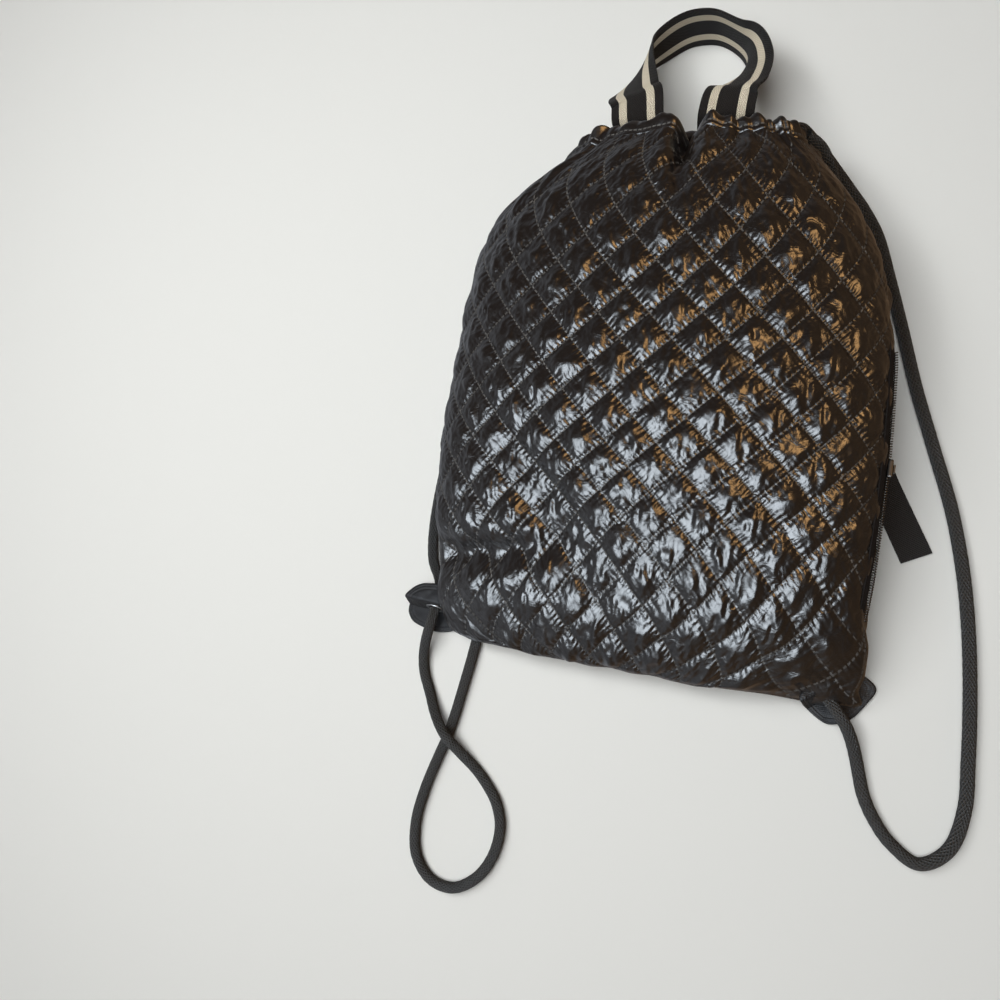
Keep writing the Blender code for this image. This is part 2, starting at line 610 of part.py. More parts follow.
def side_points(shares, angles, lift):
    """Points on the bag's side, lifted off it along its normal."""
    cloth, angle = np.meshgrid(shares, angles, indexing="ij")
    grid = plain_surface(cloth, angle)
    return grid + plain_normal(cloth, angle) * lift


def side_zip(group):
    """The zip along the right side seam: tape, coil, slider and puller."""
    cloth_finish = material("zip tape", (0.018, 0.017, 0.017), 0.8)
    metal = material("dark zip metal", (0.10, 0.095, 0.09), 0.35, 0.9)
    shares = np.linspace(ZIP_FROM, ZIP_TO, 22)
    height = BAG_DEPTH * section_at(np.array([(ZIP_FROM + ZIP_TO) / 2]))["front_z"][0]
    half_angle = ZIP_TAPE_WIDTH / height
    angles = np.linspace(-half_angle, half_angle, 5)
    low = side_points(shares, angles, CLEARANCE + 0.0002)
    high = side_points(shares, angles, CLEARANCE + 0.0002 + ZIP_TAPE_THICKNESS)
    rows, columns = low.shape[:2]
    points = np.concatenate([high.reshape(-1, 3), low.reshape(-1, 3)])
    size = rows * columns
    faces = []
    for i in range(rows - 1):
        for k in range(columns - 1):
            a = i * columns + k
            quad = (a, a + 1, a + columns + 1, a + columns)
            faces += [quad, tuple(size + c for c in reversed(quad))]
    border = [k for k in range(columns)] + [i * columns + columns - 1 for i in range(1, rows)]
    border += [(rows - 1) * columns + k for k in range(columns - 2, -1, -1)]
    border += [i * columns for i in range(rows - 2, 0, -1)]
    for a, b in zip(border, border[1:] + border[:1]):
        faces.append((a, b, size + b, size + a))
    mesh_object("side_zip_tape", points, faces, cloth_finish, group)

    coil_lift = 2 * CLEARANCE + 0.0004 + ZIP_TAPE_THICKNESS + ZIP_COIL_DIAMETER / 2
    inset = (ZIP_TO - ZIP_FROM) * 0.02
    ends = ((ZIP_FROM + inset, SLIDER_AT - 0.5 * SLIDER_LENGTH / CLOTH_LENGTH),
            (SLIDER_AT + 0.5 * SLIDER_LENGTH / CLOTH_LENGTH, ZIP_TO - inset))
    names = ("side_zip_coil_lower", "side_zip_coil_upper")
    for name, (start, end) in zip(names, ends):
        gap = 2 * CLEARANCE / CLOTH_LENGTH
        line = side_points(np.linspace(start + gap, end - gap, 12), np.array([-0.01, 0.0, 0.01]), coil_lift)
        round_cord(name, line[:, 1], ZIP_COIL_DIAMETER, 2, metal, group)

    around = SLIDER_AT + np.array([-0.01, 0.0, 0.01])
    spot = side_points(around, np.array([-0.02, 0.0, 0.02]), 0.0)
    middle = spot[1, 1]
    along = spot[2, 1] - spot[0, 1]
    along /= np.linalg.norm(along)
    up = spot[1, 2] - spot[1, 0]
    up -= along * (up @ along)
    up /= np.linalg.norm(up)
    out = np.cross(along, up)
    out *= np.sign(out[0])
    lift = 2 * CLEARANCE + 0.0004 + ZIP_TAPE_THICKNESS
    block("zip_slider", middle + out * (lift + SLIDER_HEIGHT / 2), (along, up, out),
          (SLIDER_LENGTH, SLIDER_WIDTH, SLIDER_HEIGHT), 0.0009, metal, group)
    drop = (0.45 * PULLER_LENGTH) * up
    block("zip_puller", middle + out * (lift + SLIDER_HEIGHT + CLEARANCE + PULLER_THICKNESS / 2) - drop,
          (along, up, out), (PULLER_WIDTH, PULLER_LENGTH, PULLER_THICKNESS), 0.0004, metal, group)


def block(name, centre, axes, size, edge, finish, group):
    """A box with rounded edges, of this size along these axes."""
    turn = np.stack(axes, 1)
    if np.linalg.det(turn) < 0:
        turn[:, 1] *= -1
    work = bmesh.new()
    bmesh.ops.create_cube(work, size=1.0)
    for vertex in work.verts:
        vertex.co = np.array(vertex.co) * size
    bmesh.ops.bevel(work, geom=work.edges[:], offset=edge, segments=2, affect="EDGES", profile=0.5)
    for vertex in work.verts:
        vertex.co = centre + turn @ np.array(vertex.co)
    mesh = bpy.data.meshes.new(name)
    work.to_mesh(mesh)
    work.free()
    made = bpy.data.objects.new(name, mesh)
    made.data.materials.append(finish)
    group.objects.link(made)
    return made


def side_strap(group):
    """Flat webbing sewn under the right side of the bag, that runs out over the floor."""
    finish = material("plain webbing", (0.012, 0.012, 0.012), 0.85)
    turn = math.radians(STRAP_DIRECTION_DEGREES)
    ahead = np.array([math.cos(turn), math.sin(turn), 0.0])
    across = np.array([-ahead[1], ahead[0], 0.0])
    root = np.array([STRAP_ROOT_X * BAG_WIDTH, BOTTOM_Y + STRAP_ROOT_Y * BAG_LENGTH, 0.0])
    floor = CLEARANCE + SIDE_STRAP_THICKNESS / 2
    heights = ((0.00, 0.0118), (0.10, 0.0104), (0.20, 0.0070), (0.30, 0.0034), (0.42, floor),
               (0.60, floor), (0.80, floor), (1.00, floor))
    route = [root + ahead * share * SIDE_STRAP_LENGTH + np.array([0, 0, z]) for share, z in heights]
    centres = smooth_path(route, 20)
    centres[:, 2] = np.maximum(centres[:, 2], floor)
    widths = np.repeat(across[None], 20, 0)
    return ribbon("side_strap", centres, widths, SIDE_STRAP_WIDTH, SIDE_STRAP_THICKNESS, finish, group)


def main():
    clear_scene()
    group = collection_named("quilted puffer backpack")
    cutters = collection_named("cutters")
    quilted_body(group)
    drawstring_casing(group)
    carry_handle(group)
    side_zip(group)
    side_strap(group)
    plain_cloth = material("plain corner cloth", (0.030, 0.030, 0.031), 0.55)
    eyelet_metal = material("eyelet metal", (0.55, 0.55, 0.54), 0.3, 1.0)
    cord_finish = material("braided cord", (0.022, 0.022, 0.021), 0.85)
    for side, route in (("left", LEFT_ROUTE), ("right", RIGHT_ROUTE)):
        corner_patch(side, plain_cloth, group, cutters)
        eyelet(side, eyelet_metal, group)
        path = knotted_path(on_bag(route), CORD_STEP)
        round_cord(f"{side}_cord", path, CORD_DIAMETER, 2, cord_finish, group)


main()
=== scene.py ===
# %% [markdown]
# The object is a stuffed drawstring backpack of black glossy nylon, quilted in diamonds, that lies
# on its back. Its plain solids come from the part's own source. This scene dresses them with real
# surfaces: puffed and stitched nylon, a gathered casing, braided cords, striped webbing and a zip.
# Each surface is a grid of points that numpy works out from the same named sizes as the solids,
# because a formula stays true when a size changes and a point moved by hand doesn't.

import math

import bpy
import numpy as np
from mathutils import Euler, Matrix


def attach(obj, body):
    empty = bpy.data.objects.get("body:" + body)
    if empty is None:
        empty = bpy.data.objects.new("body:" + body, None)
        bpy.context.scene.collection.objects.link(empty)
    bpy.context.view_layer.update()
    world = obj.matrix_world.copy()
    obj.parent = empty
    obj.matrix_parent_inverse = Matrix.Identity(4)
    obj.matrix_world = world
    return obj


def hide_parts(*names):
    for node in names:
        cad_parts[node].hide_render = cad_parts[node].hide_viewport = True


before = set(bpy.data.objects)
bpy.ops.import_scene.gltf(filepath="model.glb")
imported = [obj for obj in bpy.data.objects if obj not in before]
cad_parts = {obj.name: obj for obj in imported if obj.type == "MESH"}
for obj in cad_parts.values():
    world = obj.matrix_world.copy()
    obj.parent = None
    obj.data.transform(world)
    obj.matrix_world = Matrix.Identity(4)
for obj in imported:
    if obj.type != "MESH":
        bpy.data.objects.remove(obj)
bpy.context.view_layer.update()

# %% [markdown]
# These are the driving sizes of the solids, in metres. Everything else is placed by shares of them,
# so that the dressed pieces lie on the solids they stand for.

# %% Driving sizes
BAG_WIDTH = 0.320
BAG_LENGTH = 0.385
BAG_DEPTH = 0.104
CLOTH_LENGTH = 0.396
CASING_WIDTH = 0.015
PITCH = 0.0237
CORD_DIAMETER = 0.008
CLEARANCE = 0.0003
HALF_WIDTH = BAG_WIDTH / 2
BOTTOM_Y = -BAG_LENGTH / 2
CASING_FROM = 1.0 - CASING_WIDTH / CLOTH_LENGTH
MIDDLE_SHARE = 0.06
print("bag", BAG_WIDTH, "x", BAG_LENGTH, "x", BAG_DEPTH, "m")

# %% [markdown]
# A stuffed bag could be sculpted, but then nothing would tie it to its solid. A table of sections
# does: each row cuts the bag across, from the bottom seam (cloth 0) to the mouth (cloth 1). The
# values are shares of half the width, of the length and of the depth.

# %% Sections
SECTION_COLUMNS = (
    "cloth", "left", "right", "side_y", "side_z", "front_y", "front_z", "back_y", "back_z",
    "round_front", "round_back",
)
SECTIONS = (
    (0.00, -0.700, 0.660, 0.007, 0.155, 0.003, 0.190, 0.007, 0.130, 2.0, 2.0),
    (0.02, -0.800, 0.760, 0.020, 0.165, 0.012, 0.260, 0.018, 0.120, 2.0, 2.0),
    (0.05, -0.845, 0.830, 0.042, 0.190, 0.030, 0.370, 0.038, 0.110, 2.0, 2.2),
    (0.09, -0.870, 0.885, 0.075, 0.240, 0.062, 0.490, 0.072, 0.060, 2.1, 2.4),
    (0.13, -0.870, 0.925, 0.115, 0.300, 0.100, 0.600, 0.110, 0.000, 2.1, 2.6),
    (0.25, -0.895, 0.945, 0.240, 0.430, 0.225, 0.800, 0.235, -0.010, 2.1, 3.0),
    (0.40, -0.905, 0.950, 0.390, 0.470, 0.375, 0.935, 0.385, -0.010, 2.1, 3.2),
    (0.55, -0.890, 0.940, 0.540, 0.480, 0.530, 1.000, 0.540, -0.010, 2.1, 3.2),
    (0.70, -0.870, 0.885, 0.690, 0.490, 0.690, 1.000, 0.690, -0.010, 2.1, 3.0),
    (0.80, -0.800, 0.790, 0.790, 0.500, 0.790, 0.980, 0.800, 0.000, 2.1, 2.8),
    (0.88, -0.655, 0.680, 0.860, 0.530, 0.860, 0.940, 0.880, 0.020, 2.1, 2.5),
    (0.94, -0.490, 0.570, 0.910, 0.570, 0.905, 0.880, 0.950, 0.120, 2.1, 2.3),
    (1.00, -0.370, 0.470, 0.955, 0.620, 0.950, 0.800, 0.990, 0.440, 2.0, 2.0),
)
print(len(SECTIONS), "sections")

# %% [markdown]
# The stitch lines bend over the stuffed front, so an even lattice would miss them. The chart counts
# diamonds between a point and two starting lines: k to the right of the centre column and
# l down from the first full row below the mouth.

# %% Quilting chart
QUILT_CHART = (
    # cloth, k_left, k_middle, k_right, l_left, l_middle, l_right
    (0.00, -4.95, -0.50, 3.85, 8.30, 9.40, 8.95),
    (0.25, -5.50, -0.50, 4.60, 6.30, 6.85, 6.90),
    (0.50, -5.55, -0.55, 4.75, 3.85, 3.75, 4.20),
    (0.75, -5.20, -0.70, 4.35, 1.50, 0.80, 1.60),
    (1.00, -4.45, -0.95, 3.25, 0.00, -1.35, -0.20),
)
print("rows of diamonds down the middle:", QUILT_CHART[0][5] - QUILT_CHART[-1][5])

# %% [markdown]
# The same few moves come back for each piece: put an object into the scene, stand it somewhere, and
# hide the solid it stands for. The bag has no joints, so every piece rides on its one body.

# %% Helpers for objects
def unit(vectors):
    """Each vector divided by its length."""
    return vectors / np.maximum(np.linalg.norm(vectors, axis=-1, keepdims=True), 1e-12)


def add_object(name, data):
    """A new object in the scene that shows this mesh, light or camera."""
    made = bpy.data.objects.new(name, data)
    bpy.context.scene.collection.objects.link(made)
    return made


def stand_at(thing, across, up, back, place):
    """Turn a camera or light so that its x, y and z run along across, up and back, at this place."""
    matrix = np.eye(4)
    matrix[:3] = np.stack([across, up, back, place], 1)
    thing.matrix_world = Matrix(matrix.tolist())


def hand_over(piece, node=None):
    """The piece rides on the bag's one body, and the solid named node, if there is one, is hidden."""
    if node:
        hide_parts(node)
    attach(piece, "root")
    print(piece.name, len(piece.data.polygons), "faces")


print("two steps along x become", unit(np.array([2.0, 0.0, 0.0])))

# %% [markdown]
# A grid surface has rows and columns, so its quads follow from their numbers alone. Adding points
# one by one would take minutes, so the whole mesh is filled from tables in one go.

# %% Meshes from grids
def mesh_piece(name, points, quads, finish, uvs=None):
    """A smooth mesh of these points and quads, with its UV maps given point by point."""
    points = np.asarray(points, np.float32).reshape(-1, 3)
    quads = np.asarray(quads, np.int32).reshape(-1, 4)
    mesh = bpy.data.meshes.new(name)
    mesh.vertices.add(len(points))
    mesh.vertices.foreach_set("co", points.ravel())
    mesh.loops.add(quads.size)
    mesh.loops.foreach_set("vertex_index", quads.ravel())
    mesh.polygons.add(len(quads))
    mesh.polygons.foreach_set("loop_start", np.arange(0, quads.size, 4, dtype=np.int32))
    mesh.update(calc_edges=True)
    for layer_name, values in (uvs or {}).items():
        layer = mesh.uv_layers.new(name=layer_name)
        values = np.asarray(values, np.float32).reshape(-1, 2)
        layer.data.foreach_set("uv", values[quads.ravel()].ravel())
    mesh.shade_smooth()
    mesh.materials.append(finish)
    return add_object(name, mesh)


def grid_quads(rows, columns, close_columns=False, close_rows=False):
    """Quads between neighbouring rows and columns of a grid of points."""
    last_row = rows if close_rows else rows - 1
    last_column = columns if close_columns else columns - 1
    r, c = np.meshgrid(np.arange(last_row), np.arange(last_column), indexing="ij")
    r2, c2 = (r + 1) % rows, (c + 1) % columns
    quads = np.stack([r * columns + c, r * columns + c2, r2 * columns + c2, r2 * columns + c], -1)
    return quads.reshape(-1, 4)


print("a grid of 3 by 4 points has", len(grid_quads(3, 4)), "quads")

# %% [markdown]
# The photo was taken from above the right half of the bag, tilted a little to the left and to the
# mouth. A camera could be placed by eye, but the perspective of the bag's edges tells its place and
# its turn, so it stands there.

# %% Camera
CAMERA_PLACE = (0.1063, 0.0498 + BOTTOM_Y, 0.565)
CAMERA_RIGHT = (0.9265, 0.1533, -0.3436)
CAMERA_UP = (-0.1111, 0.9840, 0.1393)
LENS_PER_WIDTH = 0.770
PRINCIPAL_DOWN = 0.004
SENSOR_WIDTH = 36.0

camera = add_object("camera", bpy.data.cameras.new("camera"))
bpy.context.scene.camera = camera
right = unit(np.array(CAMERA_RIGHT))
up = unit(np.array(CAMERA_UP) - right * np.dot(right, CAMERA_UP))
stand_at(camera, right, up, np.cross(right, up), CAMERA_PLACE)
camera.data.sensor_width = SENSOR_WIDTH
camera.data.lens = LENS_PER_WIDTH * SENSOR_WIDTH
camera.data.shift_y = PRINCIPAL_DOWN
camera.data.clip_start = 0.01
print("camera at", CAMERA_PLACE)

# %% [markdown]
# Cloth never changes abruptly, so wrinkles come from random values on a coarse lattice that are
# blended smoothly, always with the same seeds. Soft edges come from a step that eases in and out,
# and tables are read through curves that pass every row without overshooting.

# %% Noise, steps and curves through tables
NOISE_LATTICE = 64


def smooth_noise(x, y, seed):
    """Value noise between -1 and 1: random values at whole numbers, blended with 3t^2 - 2t^3."""
    size = NOISE_LATTICE
    values = np.random.default_rng(seed).uniform(-1, 1, (size, size))
    xi, yi = np.floor(x).astype(int), np.floor(y).astype(int)
    fx, fy = x - xi, y - yi
    fx, fy = fx * fx * (3 - 2 * fx), fy * fy * (3 - 2 * fy)
    a, b = values[xi % size, yi % size], values[(xi + 1) % size, yi % size]
    c, d = values[xi % size, (yi + 1) % size], values[(xi + 1) % size, (yi + 1) % size]
    return (a * (1 - fx) + b * fx) * (1 - fy) + (c * (1 - fx) + d * fx) * fy


def smooth_step(x, low, high):
    """0 below low, 1 above high and 3t^2 - 2t^3 between."""
    t = np.clip((x - low) / (high - low), 0, 1)
    return t * t * (3 - 2 * t)


def smooth_columns(at, knots, values):
    """Cubic curves through each column of a table. The slope at a row is a weighted harmonic mean
    of the slopes before and after it, and 0 where they differ in sign, so nothing overshoots."""
    steps = np.diff(knots)
    rises = np.diff(values, axis=0) / steps[:, None]
    slopes = np.zeros_like(values)
    slopes[0], slopes[-1] = rises[0], rises[-1]
    before, after = rises[:-1], rises[1:]
    weight_a = (2 * steps[1:] + steps[:-1])[:, None]
    weight_b = (steps[1:] + 2 * steps[:-1])[:, None]
    same_way = before * after > 0
    safe_before = np.where(same_way, before, 1.0)
    safe_after = np.where(same_way, after, 1.0)
    middle = (weight_a + weight_b) / (weight_a / safe_before + weight_b / safe_after)
    slopes[1:-1] = np.where(same_way, middle, 0.0)
    low = np.clip(np.searchsorted(knots, at, side="right") - 1, 0, len(knots) - 2)
    share = ((at - knots[low]) / steps[low])[..., None]
    step = steps[low][..., None]
    return (
        (2 * share**3 - 3 * share**2 + 1) * values[low]
        + (share**3 - 2 * share**2 + share) * step * slopes[low]
        + (3 * share**2 - 2 * share**3) * values[low + 1]
        + (share**3 - share**2) * step * slopes[low + 1]
    )


print("a step from 0 to 1, half way:", smooth_step(0.5, 0.0, 1.0))

# %% [markdown]
# Each cord is one line: out of the casing, down beside the bag under its overhang, through the
# corner eyelet, in a loose loop over the floor and back under the bag to the casing. Simulating a
# cord would give some loop, but not this one, so its route is a list of given points.

# %% Cord routes
LEFT_ROUTE = (
    (-0.0570, 0.3757, 0.0515), (-0.0625, 0.3800, 0.0430), (-0.0690, 0.3785, 0.0340),
    (-0.0770, 0.3730, 0.0245), (-0.0870, 0.3650, 0.0155), (-0.0985, 0.3550, 0.0085),
    (-0.1110, 0.3420, 0.0050), (-0.1250, 0.3200, 0.0043), (-0.1400, 0.2900, 0.0043),
    (-0.1520, 0.2500, 0.0043), (-0.1580, 0.2000, 0.0043), (-0.1615, 0.1500, 0.0043),
    (-0.1640, 0.1030, 0.0043), (-0.1635, 0.0750, 0.0043), (-0.1600, 0.0540, 0.0043),
    (-0.1525, 0.0410, 0.0053), (-0.1482, 0.0310, 0.0072), (-0.1476, 0.0232, 0.0093),
    (-0.1481, 0.0138, 0.0127), (-0.1488, 0.0045, 0.0142), (-0.1510, -0.0050, 0.0124),
    (-0.1533, -0.0145, 0.0083), (-0.1540, -0.0240, 0.0052), (-0.1515, -0.0350, 0.0043),
    (-0.1446, -0.0485, 0.0043), (-0.1349, -0.0636, 0.0085),
    (-0.1233, -0.0757, 0.0124), (-0.1105, -0.0864, 0.0085), (-0.0970, -0.0968, 0.0043),
    (-0.0856, -0.1067, 0.0043), (-0.0765, -0.1180, 0.0043), (-0.0712, -0.1340, 0.0043),
    (-0.0735, -0.1540, 0.0043), (-0.0830, -0.1720, 0.0043), (-0.1000, -0.1845, 0.0043),
    (-0.1200, -0.1835, 0.0043), (-0.1345, -0.1690, 0.0043), (-0.1388, -0.1460, 0.0043),
    (-0.1355, -0.1200, 0.0043), (-0.1290, -0.0950, 0.0041), (-0.1240, -0.0780, 0.0041),
    (-0.1205, -0.0600, 0.0041), (-0.1175, -0.0400, 0.0041), (-0.1140, -0.0150, 0.0042),
    (-0.1125, 0.0030, 0.0042), (-0.1160, 0.0170, 0.0042), (-0.1215, 0.0310, 0.0042),
    (-0.1270, 0.0500, 0.0042), (-0.1305, 0.0800, 0.0042), (-0.1320, 0.1400, 0.0042),
    (-0.1315, 0.2000, 0.0042), (-0.1270, 0.2500, 0.0042), (-0.1210, 0.2800, 0.0042),
    (-0.1140, 0.3030, 0.0044), (-0.1080, 0.3190, 0.0060), (-0.1020, 0.3330, 0.0110),
    (-0.0960, 0.3450, 0.0210), (-0.0895, 0.3550, 0.0335), (-0.0810, 0.3640, 0.0455),
    (-0.0692, 0.3681, 0.0550),
)
RIGHT_ROUTE = (
    (0.0731, 0.3758, 0.0508), (0.0800, 0.3800, 0.0430), (0.0865, 0.3785, 0.0340),
    (0.0950, 0.3730, 0.0245), (0.1045, 0.3650, 0.0155), (0.1150, 0.3540, 0.0085),
    (0.1260, 0.3400, 0.0050), (0.1370, 0.3200, 0.0043), (0.1470, 0.2900, 0.0043),
    (0.1580, 0.2550, 0.0043), (0.1700, 0.2150, 0.0043), (0.1840, 0.1750, 0.0043),
    (0.1980, 0.1350, 0.0043), (0.2080, 0.0950, 0.0043), (0.2145, 0.0550, 0.0043),
    (0.2185, 0.0150, 0.0043), (0.2205, -0.0200, 0.0043), (0.2210, -0.0480, 0.0043),
    (0.2150, -0.0730, 0.0043), (0.1995, -0.0860, 0.0043), (0.1830, -0.0780, 0.0043),
    (0.1720, -0.0655, 0.0043), (0.1650, -0.0530, 0.0043), (0.1615, -0.0420, 0.0043),
    (0.1585, -0.0315, 0.0049), (0.1550, -0.0215, 0.0082), (0.1503, -0.0120, 0.0123),
    (0.1446, -0.0042, 0.0142), (0.1378, 0.0034, 0.0127), (0.1316, 0.0105, 0.0093),
    (0.1262, 0.0180, 0.0071), (0.1230, 0.0270, 0.0053), (0.1218, 0.0370, 0.0044),
    (0.1240, 0.0500, 0.0042), (0.1255, 0.0750, 0.0042), (0.1260, 0.1200, 0.0042),
    (0.1260, 0.2000, 0.0042), (0.1260, 0.2500, 0.0042), (0.1250, 0.2800, 0.0042),
    (0.1210, 0.3030, 0.0044), (0.1170, 0.3190, 0.0060), (0.1120, 0.3330, 0.0110),
    (0.1070, 0.3450, 0.0210), (0.1015, 0.3550, 0.0335), (0.0942, 0.3635, 0.0455),
    (0.0842, 0.3672, 0.0563),
)
print("cord points", len(LEFT_ROUTE), "left,", len(RIGHT_ROUTE), "right")

# %% [markdown]
# Between its points a cord bends evenly. A cardinal curve does that and passes through every point.
# A tube round it also needs two directions across it that don't spin, so they are carried along.

# %% Smooth paths
CURVE_STEPS = 24


def smooth_path(route, spacing=None, count=None):
    """Evenly spaced points on a cardinal curve through the route, and its length."""
    route = np.array(route, float)
    ends = np.concatenate([[2 * route[0] - route[1]], route, [2 * route[-1] - route[-2]]])
    a, b, c, d = (ends[k : len(route) - 1 + k, None] for k in range(4))
    s = (np.arange(CURVE_STEPS) / CURVE_STEPS)[None, :, None]
    bend = 2 * a - 5 * b + 4 * c - d
    dense = 0.5 * (2 * b + (c - a) * s + bend * s**2 + (3 * b - a - 3 * c + d) * s**3)
    dense = np.concatenate([dense.reshape(-1, 3), route[-1:]])
    length = length_along(dense)
    count = count or int(length[-1] / spacing) + 1
    return even_points(dense, length, count), length[-1]


def length_along(points):
    """Metres from the first point to each point of a line."""
    return np.concatenate([[0], np.cumsum(np.linalg.norm(np.diff(points, axis=0), axis=1))])


def even_points(values, length, count):
    """Values at count places evenly spaced along a line whose points lie at these lengths."""
    at = np.linspace(0, length[-1], count)
    return np.stack([np.interp(at, length, values[:, k]) for k in range(3)], 1)


def carried_frames(path):
    """Two unit vectors across the path at each point: the last one less its part along the path."""
    tangents = unit(np.gradient(path, axis=0))
    side = np.cross(tangents[0], (0.0, 0.0, 1.0))
    sides = np.zeros_like(path)
    for k, tangent in enumerate(tangents):
        side = side - tangent * side.dot(tangent)
        side = side / np.linalg.norm(side)
        sides[k] = side
    return sides, np.cross(tangents, sides)


print("left cord", round(smooth_path(LEFT_ROUTE, count=500)[1], 3), "m")

# %% [markdown]
# A material is a tree of small nodes. Written out one by one they are long, so these helpers add a
# node and feed it in one line: a socket is linked, and a number or a colour is set.

# %% Helpers for nodes
def feed(tree, node, inputs):
    """Set a node's inputs, by name or number: sockets are linked, values are set."""
    for key, value in inputs.items():
        socket = node.inputs[key]
        if isinstance(value, bpy.types.NodeSocket):
            tree.links.new(value, socket)
        else:
            socket.default_value = (*value, 1) if socket.type == "RGBA" else value


def add_node(tree, kind, inputs=None, **settings):
    """A new node with these settings and inputs."""
    node = tree.nodes.new(kind)
    for key, value in settings.items():
        setattr(node, key, value)
    feed(tree, node, inputs or {})
    return node


def calculator(tree):
    """A function that adds a Math node to this tree and gives its output."""

    def calculate(operation, *terms, clamp=False):
        """One Math node, fed with these terms in order."""
        inputs = dict(enumerate(terms))
        return add_node(tree, "ShaderNodeMath", inputs, operation=operation, use_clamp=clamp).outputs[0]

    return calculate


print("made:", feed.__name__, add_node.__name__, calculator.__name__)

# %% [markdown]
# A pattern on cloth has to follow the cloth, so it reads the piece's own UV map. It then works as a
# mix of two colours, or as a height that tilts the normal where the mesh itself stays smooth. What
# several finishes share is a group of nodes with named inputs.

# %% Helpers for patterns
def uv_parts(tree, name):
    """A UV map of the piece: its two coordinates, and both as one vector."""
    pair = add_node(tree, "ShaderNodeUVMap", uv_map=name).outputs[0]
    split = add_node(tree, "ShaderNodeSeparateXYZ", {0: pair})
    return split.outputs[0], split.outputs[1], pair


def colour_mix(tree, factor, low, high, blend_type="MIX"):
    """A colour between low at factor 0 and high at factor 1."""
    inputs = {"Factor": factor, "A": low, "B": high}
    node = add_node(tree, "ShaderNodeMix", inputs, data_type="RGBA", blend_type=blend_type)
    return node.outputs["Result"]


def relief(tree, height, distance=1.0):
    """A normal tilted by this height, which counts in steps of distance metres."""
    return add_node(tree, "ShaderNodeBump", {"Height": height, "Distance": distance}).outputs[0]


def new_group(name, inputs, output):
    """An empty node group with these inputs, each a name and a kind of socket, and one output."""
    tree = bpy.data.node_groups.new(name, "ShaderNodeTree")
    for socket_name, kind in inputs:
        tree.interface.new_socket(socket_name, in_out="INPUT", socket_type=kind)
    tree.interface.new_socket(output, in_out="OUTPUT", socket_type="NodeSocketFloat")
    enter, leave = tree.nodes.new("NodeGroupInput"), tree.nodes.new("NodeGroupOutput")
    return tree, enter.outputs, leave


print("made:", uv_parts.__name__, colour_mix.__name__, relief.__name__, new_group.__name__)

# %% [markdown]
# Small or hidden parts need no pattern. The eyelets are bright rolled metal, the zip's metal is
# dark and satin, and the zip tape and the lining are dull black cloth.

# %% Plain finishes
def new_material(name):
    """A new material, its tree and its main shader."""
    made = bpy.data.materials.new(name)
    made.use_nodes = True
    return made, made.node_tree, made.node_tree.nodes["Principled BSDF"]


def plain_material(name, colour, roughness, metallic=0.0, specular=0.5):
    """One even finish without a pattern."""
    made, tree, shader = new_material(name)
    feed(tree, shader, {
        "Base Color": colour, "Roughness": roughness, "Metallic": metallic,
        "Specular IOR Level": specular,
    })
    return made


eyelet_metal = plain_material("eyelet metal", (0.62, 0.61, 0.60), 0.28, metallic=1.0)
zip_metal = plain_material("dark zip metal", (0.09, 0.085, 0.08), 0.35, metallic=0.9)
zip_cloth = plain_material("zip tape cloth", (0.010, 0.0075, 0.0068), 0.85, specular=0.15)
lining_cloth = plain_material("pocket lining cloth", (0.010, 0.0095, 0.009), 0.7)
for finish in (eyelet_metal, zip_metal, zip_cloth, lining_cloth):
    print("finish:", finish.name)

# %% [markdown]
# Sewing thread shows as short dashes beside a seam. Modelled one by one they would be thousands of
# tiny pieces, so they are a mask in the shader. The panels, the casing and the patches all have
# such rows, so the mask is one node group with its own widths and lengths in each material.

# %% Stitches
def stitch_row_group():
    """1 on the thread and 0 beside it: the distance away is under half the thread's width, and the
    part of a stitch that is left over along the seam, counted from its start, is under its share."""
    names = ("Away", "Half Width", "Along", "Length", "Start", "Share")
    tree, enter, leave = new_group("row of stitches", [(n, "NodeSocketFloat") for n in names], "Thread")
    maths = calculator(tree)
    near = maths("LESS_THAN", enter["Away"], enter["Half Width"])
    stitches = maths("SUBTRACT", maths("DIVIDE", enter["Along"], enter["Length"]), enter["Start"])
    dash = maths("LESS_THAN", maths("FRACT", stitches), enter["Share"])
    feed(tree, leave, {"Thread": maths("MULTIPLY", near, dash)})
    return tree


STITCH_ROW = stitch_row_group()


def stitch_row(tree, away, half_width, along, length, dash):
    """The mask of one row of stitches in this material. dash is the stitch's start and share."""
    inputs = {
        "Away": away, "Half Width": half_width, "Along": along, "Length": length,
        "Start": dash[0], "Share": dash[1],
    }
    return add_node(tree, "ShaderNodeGroup", inputs, node_tree=STITCH_ROW).outputs["Thread"]


print("stitches:", STITCH_ROW.name)

# %% [markdown]
# Calendered nylon is a nearly black, brown-tinged cloth under a smooth shiny face, so it is a dark
# base with a clear coat. The coat is thinner on some creases, which breaks the mirror image up.
# Fine creases, the puckers at each stitch line and the thread are relief in the shader, read from
# the cloth's own coordinates, because they are finer than the mesh.

# %% Quilted nylon
NYLON = (0.0078, 0.0054, 0.0046)
THREAD = (0.070, 0.065, 0.060)
THREAD_HALF_WIDTH = 0.00048
THREAD_HEIGHT = 0.00030
STITCH_LENGTH = 0.0034
STITCH_DASH = (0.16, 0.68)
SEAM_STITCH_AT = 0.1535
SEAM_DASH = (0.3, 0.7)
SEAM_THREAD_HALF_WIDTH = 0.00045
PUCKER_LENGTH = 0.0037
PUCKER_REACH = 0.0034
PUCKER_HEIGHT = 0.00022
PUCKER_WANDER = 5.0
CRUMPLE_HEIGHT = 0.0009
COAT_GAIN, COAT_START = 1.7, -0.02
NYLON_ROUGH, THREAD_ROUGHER = 0.34, 0.20


